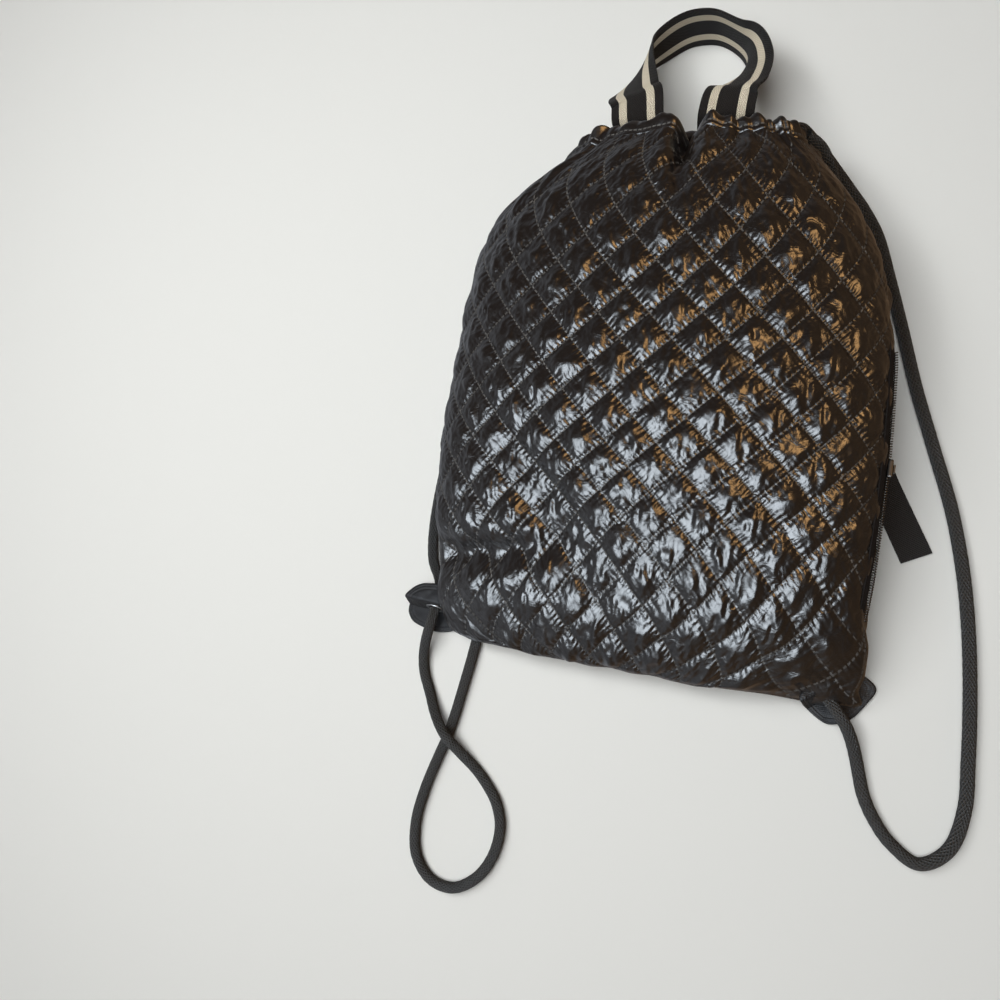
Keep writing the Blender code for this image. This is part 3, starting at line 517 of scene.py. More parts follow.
def cloth_noise(tree, cloth, **inputs):
    """Noise over the flat cloth, in waves per metre."""
    names = {"Vector": cloth, **{name.capitalize(): value for name, value in inputs.items()}}
    return add_node(tree, "ShaderNodeTexNoise", names, noise_dimensions="2D").outputs[0]


def quilted_nylon():
    """UV map 'quilt' counts stitch lines and 'cloth' is in metres. A pucker is
    sin(2 pi along / length + wander) exp(-away / reach) beside each family of lines."""
    made, tree, shader = new_material("glossy quilted nylon")
    maths = calculator(tree)
    p, q, _ = uv_parts(tree, "quilt")
    across, lengthwise, cloth = uv_parts(tree, "cloth")
    wander = maths("MULTIPLY_ADD", cloth_noise(tree, cloth, scale=160, detail=2), 0.9, -0.45)
    puckers, threads = [], []
    for counted, run in ((p, q), (q, p)):
        away = maths("MULTIPLY", maths("PINGPONG", counted, 0.5), PITCH)
        along = maths("MULTIPLY", run, PITCH)
        turns = maths("MULTIPLY", along, 2 * math.pi / PUCKER_LENGTH)
        wave = maths("SINE", maths("MULTIPLY_ADD", wander, PUCKER_WANDER, turns))
        fade = maths("EXPONENT", maths("MULTIPLY", away, -1 / PUCKER_REACH))
        puckers.append(maths("MULTIPLY", wave, fade))
        threads.append(stitch_row(tree, away, THREAD_HALF_WIDTH, along, STITCH_LENGTH, STITCH_DASH))
    from_seam = maths("ABSOLUTE", maths("SUBTRACT", across, SEAM_STITCH_AT))
    seam = stitch_row(tree, from_seam, SEAM_THREAD_HALF_WIDTH, lengthwise, STITCH_LENGTH, SEAM_DASH)
    thread = maths("MAXIMUM", maths("MAXIMUM", *threads), seam)

    crumple = cloth_noise(tree, cloth, scale=95, detail=4, roughness=0.55, distortion=0.6)
    height = maths("MULTIPLY", maths("ADD", *puckers), PUCKER_HEIGHT)
    height = maths("MULTIPLY_ADD", crumple, CRUMPLE_HEIGHT, height)
    height = maths("MULTIPLY_ADD", thread, THREAD_HEIGHT, height)
    normal = relief(tree, height)
    coat = maths("MULTIPLY_ADD", crumple, COAT_GAIN, COAT_START, clamp=True)
    feed(tree, shader, {
        "Base Color": colour_mix(tree, thread, NYLON, THREAD), "Normal": normal, "Coat Normal": normal,
        "Roughness": maths("MULTIPLY_ADD", thread, THREAD_ROUGHER, NYLON_ROUGH),
        "Specular IOR Level": 0.55,
        "Coat Weight": maths("MULTIPLY", coat, maths("SUBTRACT", 1.0, thread)),
        "Coat Roughness": 0.18, "Coat IOR": 1.5,
    })
    return made


nylon = quilted_nylon()
print("nylon", NYLON, "stitch", STITCH_LENGTH, "m")

# %% [markdown]
# The cord is dull black yarn, plaited. The plait itself is in the mesh. Each of its strands is made
# of finer ones that cross it: relief in the shader, and painted shade that darkens the grooves between
# them.

# %% Cord yarn
CORD_UV_SCALE = 1 / 20
FINE_STRANDS = 6
STRAND_LENGTH = 0.0036
STRAND_RELIEF = 0.0007
# Painted shade: the grooves between the fine strands get a far darker colour than the yarn on top.
CORD_GROOVE_SHADE = (0.0012, 0.0012, 0.0011)
CORD_YARN = (0.0300, 0.0285, 0.0265)


def braided_cord_material():
    """UV map 'cord' is the angle round the cord and metres along it. The fine strands are the third
    power of the larger of |sin(6a + wl)| and |sin(6a - wl)|."""
    made, tree, shader = new_material("braided cord")
    maths = calculator(tree)
    angle, length, _ = uv_parts(tree, "cord")
    around = maths("MULTIPLY", angle, FINE_STRANDS / CORD_UV_SCALE)
    along = maths("MULTIPLY", length, math.pi / STRAND_LENGTH)
    families = [
        maths("ABSOLUTE", maths("SINE", maths(way, around, along))) for way in ("ADD", "SUBTRACT")
    ]
    strands = maths("POWER", maths("MAXIMUM", *families), 3.0)
    feed(tree, shader, {
        "Base Color": colour_mix(tree, strands, CORD_GROOVE_SHADE, CORD_YARN),
        "Normal": relief(tree, strands, STRAND_RELIEF), "Roughness": 0.55, "Specular IOR Level": 0.45,
        "Sheen Weight": 0.03, "Sheen Roughness": 0.5,
    })
    return made


cord_finish = braided_cord_material()
print("cord yarn", CORD_YARN)

# %% [markdown]
# A round cord with a picture of a braid looks flat at its edge, so the tube carries the braid as
# real relief. Sixteen strands run round it both ways, and the tube stands proud where one of them
# is on top. It follows the same curve as its solid.

# %% Braided tube
CORD_SIDES = 40
BRAID_LENGTH = 0.012
BRAID_RELIEF = 0.13
CORD_SPACING = 0.0013


def braided_tube(name, route):
    """r = R (1.01 + relief (max(|sin(4a + wl)|, |sin(4a - wl)|) - 1)) round the carried frames."""
    path, length = smooth_path([(x, y + BOTTOM_Y, z) for x, y, z in route], spacing=CORD_SPACING)
    sides, ups = carried_frames(path)
    angle = np.arange(CORD_SIDES) * 2 * np.pi / CORD_SIDES
    a, l = np.meshgrid(angle, np.linspace(0, length, len(path)))
    twist = 2 * np.pi * l / BRAID_LENGTH
    ridges = np.maximum(np.abs(np.sin(4 * a + twist)), np.abs(np.sin(4 * a - twist)))
    radius = CORD_DIAMETER / 2 * (1.01 + BRAID_RELIEF * (ridges - 1))
    offset = sides[:, None] * (np.cos(a) * radius)[..., None]
    offset = offset + ups[:, None] * (np.sin(a) * radius)[..., None]
    quads = grid_quads(*a.shape, close_columns=True)
    uv = np.stack([a * CORD_UV_SCALE, l], -1)
    piece = mesh_piece(name, path[:, None] + offset, quads, cord_finish, {"cord": uv})
    close_uv_seam(piece.data.uv_layers["cord"].data, len(path))
    return piece, path, float(length)


def close_uv_seam(layer, rows):
    """The last column of quads ends at a full turn, not at angle 0, so that the yarn runs on."""
    corners = np.empty(len(layer) * 2, np.float32)
    layer.foreach_get("uv", corners)
    corners = corners.reshape(rows - 1, CORD_SIDES, 4, 2)
    corners[:, -1, 1:3, 0] = 2 * np.pi * CORD_UV_SCALE
    layer.foreach_set("uv", corners.ravel())


for side, route in (("left", LEFT_ROUTE), ("right", RIGHT_ROUTE)):
    piece, path, length = braided_tube(f"{side}_braided_cord", route)
    hand_over(piece, f"{side}_cord")
    print(side, "cord", round(length, 3), "m")

# %% [markdown]
# The stuffed form is lofted through the sections. A circle would be too thin at the flanks of a bag
# that lies on its back, so each half section is a superellipse, which can be nearly flat below and
# round above. Two values name a place on it: cloth, the share of the way from the bottom seam to
# the mouth, and an angle round the bag.

# %% Form of the bag
def section_at(cloth):
    """The sections' values at this share of the cloth, by name."""
    table = np.array(SECTIONS)
    values = smooth_columns(cloth, table[:, 0], table[:, 1:])
    return {name: values[..., k] for k, name in enumerate(SECTION_COLUMNS[1:])}


def plain_surface(cloth, angle):
    """x goes with |cos|^(2/n) and y and z with |sin|^(2/n) of the angle, where n is the section's
    roundness: angle 0 is right, a quarter turn the front, three quarters the back."""
    row = section_at(cloth)
    left, right = row["left"] * HALF_WIDTH, row["right"] * HALF_WIDTH
    front = np.sin(angle) >= 0
    power = 2 / np.where(front, row["round_front"], row["round_back"])
    across = np.sign(np.cos(angle)) * np.abs(np.cos(angle)) ** power
    towards = np.abs(np.sin(angle)) ** power
    far_y = np.where(front, row["front_y"], row["back_y"])
    far_z = np.where(front, row["front_z"], row["back_z"])
    x = (left + right) / 2 + (right - left) / 2 * across
    y = BOTTOM_Y + BAG_LENGTH * (row["side_y"] + (far_y - row["side_y"]) * towards)
    z = BAG_DEPTH * (row["side_z"] + (far_z - row["side_z"]) * towards)
    return np.stack([x, y, np.maximum(z, 0.0)], -1)


def plain_normal(cloth, angle, step=0.002):
    """Cross product of the surface's two directions, by differences."""
    along = plain_surface(cloth + step, angle) - plain_surface(cloth - step, angle)
    around = plain_surface(cloth, angle + step * 5) - plain_surface(cloth, angle - step * 5)
    return unit(np.cross(along, around))


widest = plain_surface(np.array([0.4, 0.4]), np.array([0.0, np.pi]))[:, 0]
print("widest", round(widest[0] - widest[1], 3), "m")

# %% [markdown]
# A panel's own coordinates are s, from the left seam (-1) over the middle (0) to the right seam
# (1), and t, from the bottom seam to the mouth. Even steps of the angle would crowd the grid at the
# flanks, so s follows the arc length of each section.

# %% Cloth coordinates
ARC_SAMPLES = 361


def even_angles(shares, cloth, start, end):
    """Angles that divide each half section by arc length: shares 0 at start and 1 at end."""
    sweep = np.linspace(start, end, ARC_SAMPLES)
    rows = []
    for t in cloth:
        arc = length_along(plain_surface(np.full(ARC_SAMPLES, t), sweep))
        rows.append(np.interp(shares, arc / arc[-1], sweep))
    return np.array(rows)


def angle_at(s, t, angle_table, row_shares):
    """Angle at cloth coordinates (s, t): a mean of the table's four nearest, weighted by nearness."""
    column = (s + 1) / 2 * (angle_table.shape[1] - 1)
    row = np.interp(t, row_shares, np.arange(len(row_shares)))
    c = np.clip(column.astype(int), 0, angle_table.shape[1] - 2)
    r = np.clip(row.astype(int), 0, angle_table.shape[0] - 2)
    fc, fr = column - c, row - r
    low = angle_table[r, c] * (1 - fc) + angle_table[r, c + 1] * fc
    high = angle_table[r + 1, c] * (1 - fc) + angle_table[r + 1, c + 1] * fc
    return low * (1 - fr) + high * fr


def quilt_coordinates(s, t):
    """(p, q), whole numbers on the two families of stitch lines, from the chart: a parabola
    through its left, middle and right columns at each t."""
    chart = np.array(QUILT_CHART)
    row = smooth_columns(t, chart[:, 0], chart[:, 1:])
    k = row[..., 1] + (row[..., 2] - row[..., 0]) / 2 * s
    k = k + ((row[..., 2] + row[..., 0]) / 2 - row[..., 1]) * s**2
    l = row[..., 4] + (row[..., 5] - row[..., 3]) / 2 * s
    l = l + ((row[..., 5] + row[..., 3]) / 2 - row[..., 4]) * s**2
    return k + l, l - k


print("lines at the middle of the front", quilt_coordinates(np.array(0.0), np.array(0.5)))

# %% [markdown]
# The stitch lines run slanted over a grid that is straight. If the nearest points were simply
# pinned, the seams would climb in stairs, so points near a line are first slid onto it.

# %% Points on stitch lines
STITCH_REACH = 0.52


def whole_distance(value):
    """Distance from the nearest whole number."""
    return np.abs(value - np.round(value))


def slide_to_stitches(s, t, coordinates):
    """Move grid points within half a step of a stitch line onto it: Newton steps in (s, t)."""
    step_s, step_t = s[0, 1] - s[0, 0], t[1, 0] - t[0, 0]
    inner = np.zeros(s.shape, bool)
    inner[1:-1, 1:-1] = True
    for _ in range(2):
        p, q = coordinates(s, t)
        small = 1e-4
        p_s, q_s = (np.array(coordinates(s + small, t)) - (p, q)) / small
        p_t, q_t = (np.array(coordinates(s, t + small)) - (p, q)) / small
        reach_p = STITCH_REACH * np.maximum(np.abs(p_s * step_s), np.abs(p_t * step_t))
        reach_q = STITCH_REACH * np.maximum(np.abs(q_s * step_s), np.abs(q_t * step_t))
        gap_p, gap_q = np.round(p) - p, np.round(q) - q
        gap_p = np.where(inner & (np.abs(gap_p) < reach_p), gap_p, 0.0)
        gap_q = np.where(inner & (np.abs(gap_q) < reach_q), gap_q, 0.0)
        flat = p_s * q_t - p_t * q_s
        s = s + (gap_p * q_t - gap_q * p_t) / flat
        t = t + (gap_q * p_s - gap_p * q_s) / flat
    return s, t


print("2.3 lies", round(float(whole_distance(2.3)), 3), "of a diamond from a stitch line")

# %% [markdown]
# The drawn mouth pushes a deep fold into the middle of the front, and the slack corner sinks in at
# the lower left. Such forms are larger than a diamond, so they are grooves in the surface itself,
# each a Gaussian across its line, before any cushion is puffed.

# %% Folds and pleats
FOLD_DEPTH, FOLD_WIDTH, FOLD_LENGTH = 0.018, 0.0047, 0.080
FOLD_X = MIDDLE_SHARE * HALF_WIDTH + 0.001
FOLD_SWAY = 0.0016
LIP_HEIGHT, LIP_AT, LIP_WIDTH = 0.0034, 0.0125, 0.0065
DENT_DEPTH, DENT_WIDTH = 0.013, 0.012
HOLLOW_DEPTH, HOLLOW_WIDTH = 0.0105, 0.016
HOLLOW_X, HOLLOW_REACH = -0.27, 0.27
PLEAT_DEPTH, PLEAT_REACH = 0.0026, 0.085


def front_folds(x, y, cloth, angle):
    """Depth of the centre fold with its raised lips, and of the dent at the lower left with the
    slanted hollow beside it: depth times exp(-(distance / width)^2)."""
    from_mouth = (1 - cloth) * CLOTH_LENGTH
    front = np.clip(np.sin(angle) * 3, 0, 1)
    off_x = x - FOLD_X - FOLD_SWAY * np.sin(from_mouth * 190)
    near_mouth = np.clip(1 - from_mouth / FOLD_LENGTH, 0, 1) ** 0.8
    fold = FOLD_DEPTH * np.exp(-((off_x / FOLD_WIDTH) ** 2))
    lips = LIP_HEIGHT * np.exp(-(((np.abs(off_x) - LIP_AT) / LIP_WIDTH) ** 2))
    x_share = x / HALF_WIDTH
    dent_y = BOTTOM_Y + BAG_LENGTH * (0.150 + 0.10 * (x_share + 0.9) ** 2)
    dent = DENT_DEPTH * np.exp(-(((y - dent_y) / DENT_WIDTH) ** 2)) * front
    hollow_y = BOTTOM_Y + BAG_LENGTH * (0.32 - 0.42 * (x_share + 0.45))
    off = (y - hollow_y) / math.sqrt(2)
    hollow = HOLLOW_DEPTH * np.exp(-((off / np.where(off < 0, 1.5, 1.0) / HOLLOW_WIDTH) ** 2))
    hollow = hollow * front * np.exp(-(((x_share - HOLLOW_X) / HOLLOW_REACH) ** 2))
    dent = dent * np.clip((-0.15 - x_share) / 0.35, 0, 1)
    return (fold - lips) * front * near_mouth + dent + hollow


def gathers(cloth, angle, seed=60):
    """Height of the pleats that fan out from the drawn mouth: two cosines of uneven width."""
    from_mouth = (1 - cloth) * CLOTH_LENGTH
    wander = smooth_noise(angle * 2.3 + 5, cloth * 6, seed) * 1.4
    turns = angle * 13 + wander * 2.2
    ridges = np.cos(turns) * 0.6 + 0.4 * np.cos(2.3 * turns + 1.7 + 2 * wander)
    left = np.exp(-(((angle - 0.80 * np.pi) / 0.42) ** 2))
    reach = PLEAT_REACH * (1 + 0.9 * left)
    return PLEAT_DEPTH * ridges * np.clip(1 - from_mouth / reach, 0, 1) ** 1.5


print("centre fold", FOLD_DEPTH, "m deep")

# %% [markdown]
# On the real bag wadding is sewn between two cloths, so each diamond is a small cushion. A panel is
# a grid over half the form, lifted to a low pillow in each diamond, sunk along the folds and rolled
# over at the bottom seam. Its lower corners reach out a little into flat ears.

# %% Panel of cushions
PILLOW_POWER = 0.62
PUFF_UNEVEN = 0.35
BOTTOM_ROLL, ROLL_UNEVEN = 0.0040, 0.0016
RIGHT_EAR, LEFT_EAR = 0.027, 0.002
EAR_DROP = 0.25


def quilted_panel(name, columns, rows, start, end, coordinates, folds, puff, seed):
    """Surface + normal (puff (sin(pi p') sin(pi q'))^0.62 - folds + gathers), where p' and q' are
    the distances to the stitch lines. Gives the piece, its coordinates and what is stitched."""
    row_shares = np.linspace(0.0, CASING_FROM - 0.0008, rows)
    table = even_angles(np.linspace(0, 1, columns), row_shares, start, end)
    t = np.repeat(row_shares[:, None], columns, 1)
    s = np.repeat(np.linspace(-1, 1, columns)[None], rows, 0)
    s, t = slide_to_stitches(s, t, coordinates)
    angle = angle_at(s, t, table, row_shares)
    p, q = coordinates(s, t)
    base = plain_surface(t, angle)
    normals = plain_normal(t, angle)
    stitched = (whole_distance(p) < 1e-3) | (whole_distance(q) < 1e-3)
    stitched[[0, -1]] = True
    stitched[:, [0, -1]] = True
    pillow = (np.sin(np.pi * whole_distance(p)) * np.sin(np.pi * whole_distance(q))) ** PILLOW_POWER
    jitter = smooth_noise(s * 60, t * 70, seed) + smooth_noise(s * 27 + 9, t * 33 + 4, seed + 1)
    edge = np.minimum(smooth_step(1 - np.abs(s), 0.0, 0.05), smooth_step(t, 0.0, 0.02))
    height = (puff(s, t) * (1 + PUFF_UNEVEN * jitter) * pillow) * edge
    height = height - folds(base[..., 0], base[..., 1], t, angle)
    height = height + gathers(t, angle) * smooth_step(1 - np.abs(s), 0.0, 0.06)
    points = base + normals * height[..., None]
    roll = BOTTOM_ROLL + ROLL_UNEVEN * smooth_noise(s * 7.5 + 20, 0 * t, 77)
    points[..., 1] -= roll * (1 - smooth_step(t, 0.0, 0.09))
    low = (1 - smooth_step(t, 0.0, 0.20)) * (1 + 0.6 * (1 - smooth_step(t, 0.0, 0.05)))
    for way, spread in ((1, RIGHT_EAR), (-1, LEFT_EAR)):
        near = smooth_step(way * s, 0.62, 1.0) * low
        points[..., 0] += way * spread * near
        points[..., 2] -= EAR_DROP * spread * near
    uvs = {
        "quilt": np.stack([p, q], -1),
        "cloth": np.stack([s * HALF_WIDTH, t * CLOTH_LENGTH], -1),
    }
    piece = mesh_piece(name, points, grid_quads(rows, columns)[:, ::-1], nylon, uvs)
    return piece, s, t, stitched


print("corner ears", LEFT_EAR, "and", RIGHT_EAR, "m")

# %% [markdown]
# Surplus cloth gathers into creases at the seams of each cushion. A formula makes even pillows, but
# real creases are never even, so Blender's cloth solver makes them: the stitch lines are pinned,
# the cloth between them is a little too large, and a light pressure stands in for the wadding. The
# solver is tuned for garments of a metre or more, so it works on a copy ten times as large.

# %% Cloth solver
SIM_SCALE = 10.0
CLOTH_PRESSURE = 9.0
CLOTH_SLACK = -0.16
CLOTH_FRAMES = 34
GROUP_LEVELS = 20


def graded_group(piece, name, values):
    """A vertex group with these values between 0 and 1, rounded to twentieths."""
    group = piece.vertex_groups.new(name=name)
    levels = np.round(np.clip(values, 0, 1) * GROUP_LEVELS).astype(int)
    for level in range(1, GROUP_LEVELS + 1):
        group.add(np.flatnonzero(levels == level).tolist(), level / GROUP_LEVELS, "REPLACE")


def settle_cloth(piece, pinned, pushed, slack):
    """Let the solver bulge and crease the piece between its pinned points. Returns its points."""
    points = np.empty(len(piece.data.vertices) * 3, np.float32)
    piece.data.vertices.foreach_get("co", points)
    piece.data.vertices.foreach_set("co", points * SIM_SCALE)
    pins = piece.vertex_groups.new(name="stitched")
    pins.add(np.flatnonzero(pinned).tolist(), 1.0, "REPLACE")
    graded_group(piece, "wadded", pushed)
    graded_group(piece, "slack", slack)
    solver = piece.modifiers.new("cloth", "CLOTH")
    rules = solver.settings
    rules.quality = 4
    rules.mass = 0.3
    rules.tension_stiffness = rules.compression_stiffness = 12
    rules.shear_stiffness = 4
    rules.bending_stiffness = 0.02
    rules.tension_damping = rules.compression_damping = rules.shear_damping = 8
    rules.air_damping = 4
    rules.vertex_group_mass = "stitched"
    rules.pin_stiffness = 1.0
    rules.use_pressure = True
    rules.uniform_pressure_force = CLOTH_PRESSURE
    rules.vertex_group_pressure = "wadded"
    rules.vertex_group_shrink = "slack"
    rules.shrink_min, rules.shrink_max = -0.05, CLOTH_SLACK
    rules.effector_weights.gravity = 0.0
    solver.collision_settings.use_collision = False
    solver.collision_settings.use_self_collision = False
    solver.point_cache.frame_start, solver.point_cache.frame_end = 1, CLOTH_FRAMES
    for frame_number in range(1, CLOTH_FRAMES + 1):
        bpy.context.scene.frame_set(frame_number)
    settled = piece.evaluated_get(bpy.context.evaluated_depsgraph_get())
    settled.data.vertices.foreach_get("co", points)
    piece.modifiers.remove(solver)
    piece.vertex_groups.clear()
    bpy.context.scene.frame_set(1)
    return points.reshape(-1, 3) / SIM_SCALE


def lay_on_floor(piece, points):
    """Give the piece these points, none of them below the floor."""
    points[:, 2] = np.maximum(points[:, 2], 0.0)
    piece.data.vertices.foreach_set("co", points.ravel())
    piece.data.update()


print("cloth solver:", CLOTH_FRAMES, "frames")

# %% [markdown]
# The front panel is the large puffed face of the bag. The wadding pushes most in the middle and
# less at the flanks and shoulders, and the cloth is slackest low in the middle, where the deepest
# creases are.

# %% Front panel
FRONT_COLUMNS, FRONT_ROWS = 264, 288
START_PUFF = 0.0034


def front_puff(s, t):
    """Starting height of the cushions: full in the middle, flatter at the flanks and shoulders."""
    flat = 0.55 * smooth_step(np.abs(s), 0.55, 1.0) + 0.55 * smooth_step(t, 0.72, 0.97)
    return START_PUFF * np.clip(1 - flat, 0.15, 1)


front_panel, s, t, stitched = quilted_panel(
    "quilted_front", FRONT_COLUMNS, FRONT_ROWS, np.pi, 0.0, quilt_coordinates, front_folds, front_puff, 3
)
wadded = 1 - 0.6 * smooth_step(np.abs(s), 0.55, 0.95) - 0.35 * smooth_step(t, 0.72, 0.95)
slack = 0.45 + 0.55 * smooth_step(0.9 - np.hypot((s - 0.05) / 0.8, (t - 0.32) / 0.3), 0.0, 0.5)
lay_on_floor(front_panel, settle_cloth(front_panel, stitched.ravel(), wadded.ravel(), slack.ravel()))
hand_over(front_panel, "quilted_body")

# %% [markdown]
# The back lies on the floor, so its cushions are pressed flat there and puff only towards the
# edges. Nobody sees its creases, so it needs no solver, and its lattice is even.

# %% Back panel
BACK_COLUMNS, BACK_ROWS = 200, 220
BACK_ACROSS, BACK_ALONG = 4.75, 11.6


def back_coordinates(s, t):
    """An even lattice of diamonds: p = 4.75 s + 11.6 t and q = 11.6 t - 4.75 s."""
    return s * BACK_ACROSS + t * BACK_ALONG, t * BACK_ALONG - s * BACK_ACROSS


def no_folds(x, y, cloth, angle):
    """The back has no large folds."""
    return 0.0


def back_puff(s, t):
    """The same height everywhere."""
    return START_PUFF


back_panel = quilted_panel(
    "quilted_back", BACK_COLUMNS, BACK_ROWS, np.pi, 2 * np.pi, back_coordinates, no_folds, back_puff, 5
)[0]
points = np.empty(len(back_panel.data.vertices) * 3, np.float32)
back_panel.data.vertices.foreach_get("co", points)
lay_on_floor(back_panel, points.reshape(-1, 3))
hand_over(back_panel)

# %% [markdown]
# Each panel is one sheet. A second sheet, a wall's thickness inside them, is the lining that shows
# in the mouth. It follows the same folds, so that it never comes through the front.

# %% Pocket lining
WALL = 0.005
LINING_FROM, LINING_TO = 0.085, 0.995
LINING_ROWS, LINING_COLUMNS = 90, 160

t, angle = np.meshgrid(
    np.linspace(LINING_FROM, LINING_TO, LINING_ROWS),
    np.arange(LINING_COLUMNS) * 2 * np.pi / LINING_COLUMNS, indexing="ij",
)
base = plain_surface(t, angle)
depth = WALL * 1.05 + front_folds(base[..., 0], base[..., 1], t, angle)
points = base - plain_normal(t, angle) * depth[..., None]
points[..., 2] = np.maximum(points[..., 2], 0.002)
quads = grid_quads(LINING_ROWS, LINING_COLUMNS, close_columns=True)
lining = mesh_piece("pocket_lining", points, quads, lining_cloth)
hand_over(lining)

# %% [markdown]
# The band round the mouth is one strip of nylon folded over the cord and stitched 4 mm above its
# lower edge. The drawn cord crowds its cloth, so the band stands in uneven pleats that are deepest
# at its edge. A torus would be too even: one cross-section is carried round the mouth instead, and
# pleats and scallops are added to it.

# %% Casing's cross-section
CASING_STEPS = 900
CASING_POINTS = 44
LIFT_SCALE = 60
# Share of the band's width from the seam to its edge, and height off the bag in metres.
CASING_SECTION = (
    (0.00, -0.0006), (0.03, 0.0004), (0.12, 0.0012), (0.22, 0.0012), (0.34, 0.0024), (0.50, 0.0035),
    (0.66, 0.0039), (0.80, 0.0035), (0.92, 0.0022), (1.00, 0.0002), (1.05, -0.0022), (1.03, -0.0044),
    (0.96, -0.0058), (0.80, -0.0064), (0.50, -0.0066), (0.10, -0.0066),
)
section_path = smooth_path([(a, h * LIFT_SCALE, 0) for a, h in CASING_SECTION], count=CASING_POINTS)[0]
along, lift = section_path[:, 0], section_path[:, 1] / LIFT_SCALE
print("casing up to", round(lift.max() * 1000, 2), "mm off the bag")

# %% [markdown]
# The casing is of the same nylon, and has one row of stitches. A second material isn't needed: its
# cloth coordinate counts from the nylon's seam stitches, so they are drawn here too. The quilting
# is switched off by coordinates that stay half a diamond from every line.

# %% Drawstring casing
CASING_STITCH_UP = 0.0040
PLEAT_HEIGHT, SCALLOP = 0.0016, 0.0021

u, angle = np.meshgrid(along, np.arange(CASING_STEPS) * 2 * np.pi / CASING_STEPS, indexing="ij")
t = CASING_FROM + np.minimum(u, 1.0) * (1 - CASING_FROM)
base = plain_surface(t, angle)
normals = plain_normal(np.minimum(t, 0.997), angle)
onward = unit(base - plain_surface(t - 0.004, angle))
crowd = smooth_noise(angle * 9, u * 1.3 + 4, 81) + 0.6 * smooth_noise(angle * 19, u * 2 + 9, 82)
pleat = PLEAT_HEIGHT * crowd * smooth_step(u, 0.0, 0.8)
scallop = SCALLOP * smooth_noise(angle * 8 + 3, 0 * u, 83) * smooth_step(u, 0.3, 1.0)
height = lift[:, None] + pleat + gathers(t, angle)
height = height - front_folds(base[..., 0], base[..., 1], t, angle)
beyond = (u - np.minimum(u, 1.0)) * CASING_WIDTH + scallop
points = base + normals * height[..., None] + onward * beyond[..., None]
points[..., 2] = np.maximum(points[..., 2], CLEARANCE)
around = np.linalg.norm(np.diff(base[0], axis=0, append=base[0, :1]), axis=1).cumsum()
around = np.repeat(around[None], len(along), 0)
from_stitches = u * CASING_WIDTH - CASING_STITCH_UP
uvs = {
    "quilt": np.full((*u.shape, 2), 0.5),
    "cloth": np.stack([SEAM_STITCH_AT + from_stitches, around], -1),
}
quads = grid_quads(len(along), CASING_STEPS, close_columns=True)
casing = mesh_piece("gathered_casing", points, quads, nylon, uvs)
hand_over(casing, "drawstring_casing")

# %% [markdown]
# The handle is woven in black with two cream stripes, and the side strap is plain black. The weave
# is far finer than a mesh, so it is relief in the shader, on the strap's own coordinates: metres
# across and metres along. The patches are woven too, so the weave is a node group.

# %% Weave
WEAVE_PITCH = 0.0016


def weave_group():
    """Height of a plain weave: sin(2 pi x / pitch) sin(0.8 * 2 pi y / pitch)."""
    tree, enter, leave = new_group("woven webbing", [("Place", "NodeSocketVector")], "Height")
    maths = calculator(tree)
    split = add_node(tree, "ShaderNodeSeparateXYZ", {0: enter["Place"]}).outputs
    turns = 2 * math.pi / WEAVE_PITCH
    across = maths("SINE", maths("MULTIPLY", split[0], turns))
    lengthwise = maths("SINE", maths("MULTIPLY", split[1], turns * 0.8))
    feed(tree, leave, {"Height": maths("MULTIPLY", across, lengthwise)})
    return tree


WEAVE = weave_group()
print("weave", WEAVE_PITCH, "m")

# %% [markdown]
# A stripe is a band of the coordinate across the strap, so it needs no second piece. The valleys of
# the weave are painted a little darker than its ridges, as shade.

# %% Webbing
CREAM = (0.74, 0.66, 0.52)
WEBBING_BLACK = (0.0070, 0.0056, 0.0052)
HANDLE_STRIPES = ((-0.0130, -0.0072), (0.0072, 0.0130))
WEAVE_DEPTH = 0.00022


def webbing_material(name, stripes):
    """Matte webbing. stripes are the cream bands across it, in metres from its middle."""
    made, tree, shader = new_material(name)
    maths = calculator(tree)
    across, _, place = uv_parts(tree, "strap")
    weave = add_node(tree, "ShaderNodeGroup", {"Place": place}, node_tree=WEAVE).outputs["Height"]
    cream = 0.0
    for low, high in stripes:
        inside = maths("MULTIPLY", maths("GREATER_THAN", across, low), maths("LESS_THAN", across, high))
        cream = maths("MAXIMUM", cream, inside)
    colour = colour_mix(tree, cream, WEBBING_BLACK, CREAM)
    # Painted shade: the colour darkens in the weave's valleys and stays full on its ridges.
    shade = maths("MULTIPLY_ADD", weave, 0.16, 0.84)
    feed(tree, shader, {
        "Base Color": colour_mix(tree, 1.0, colour, shade, "MULTIPLY"),
        "Normal": relief(tree, weave, WEAVE_DEPTH), "Roughness": 0.72, "Specular IOR Level": 0.30,
        "Sheen Weight": 0.06,
    })
    return made


striped_webbing = webbing_material("striped webbing", HANDLE_STRIPES)
plain_webbing = webbing_material("plain black webbing", ())
print("cream stripes", HANDLE_STRIPES)

# %% [markdown]
# A strap has a width and a thickness that turn with it as it twists. A flattened tube does this:
# the same cross-section at each point of the path, laid out on the strap's own width and normal.

# %% Strap
FACE_POINTS = 15
FACE_SHARE = 0.985


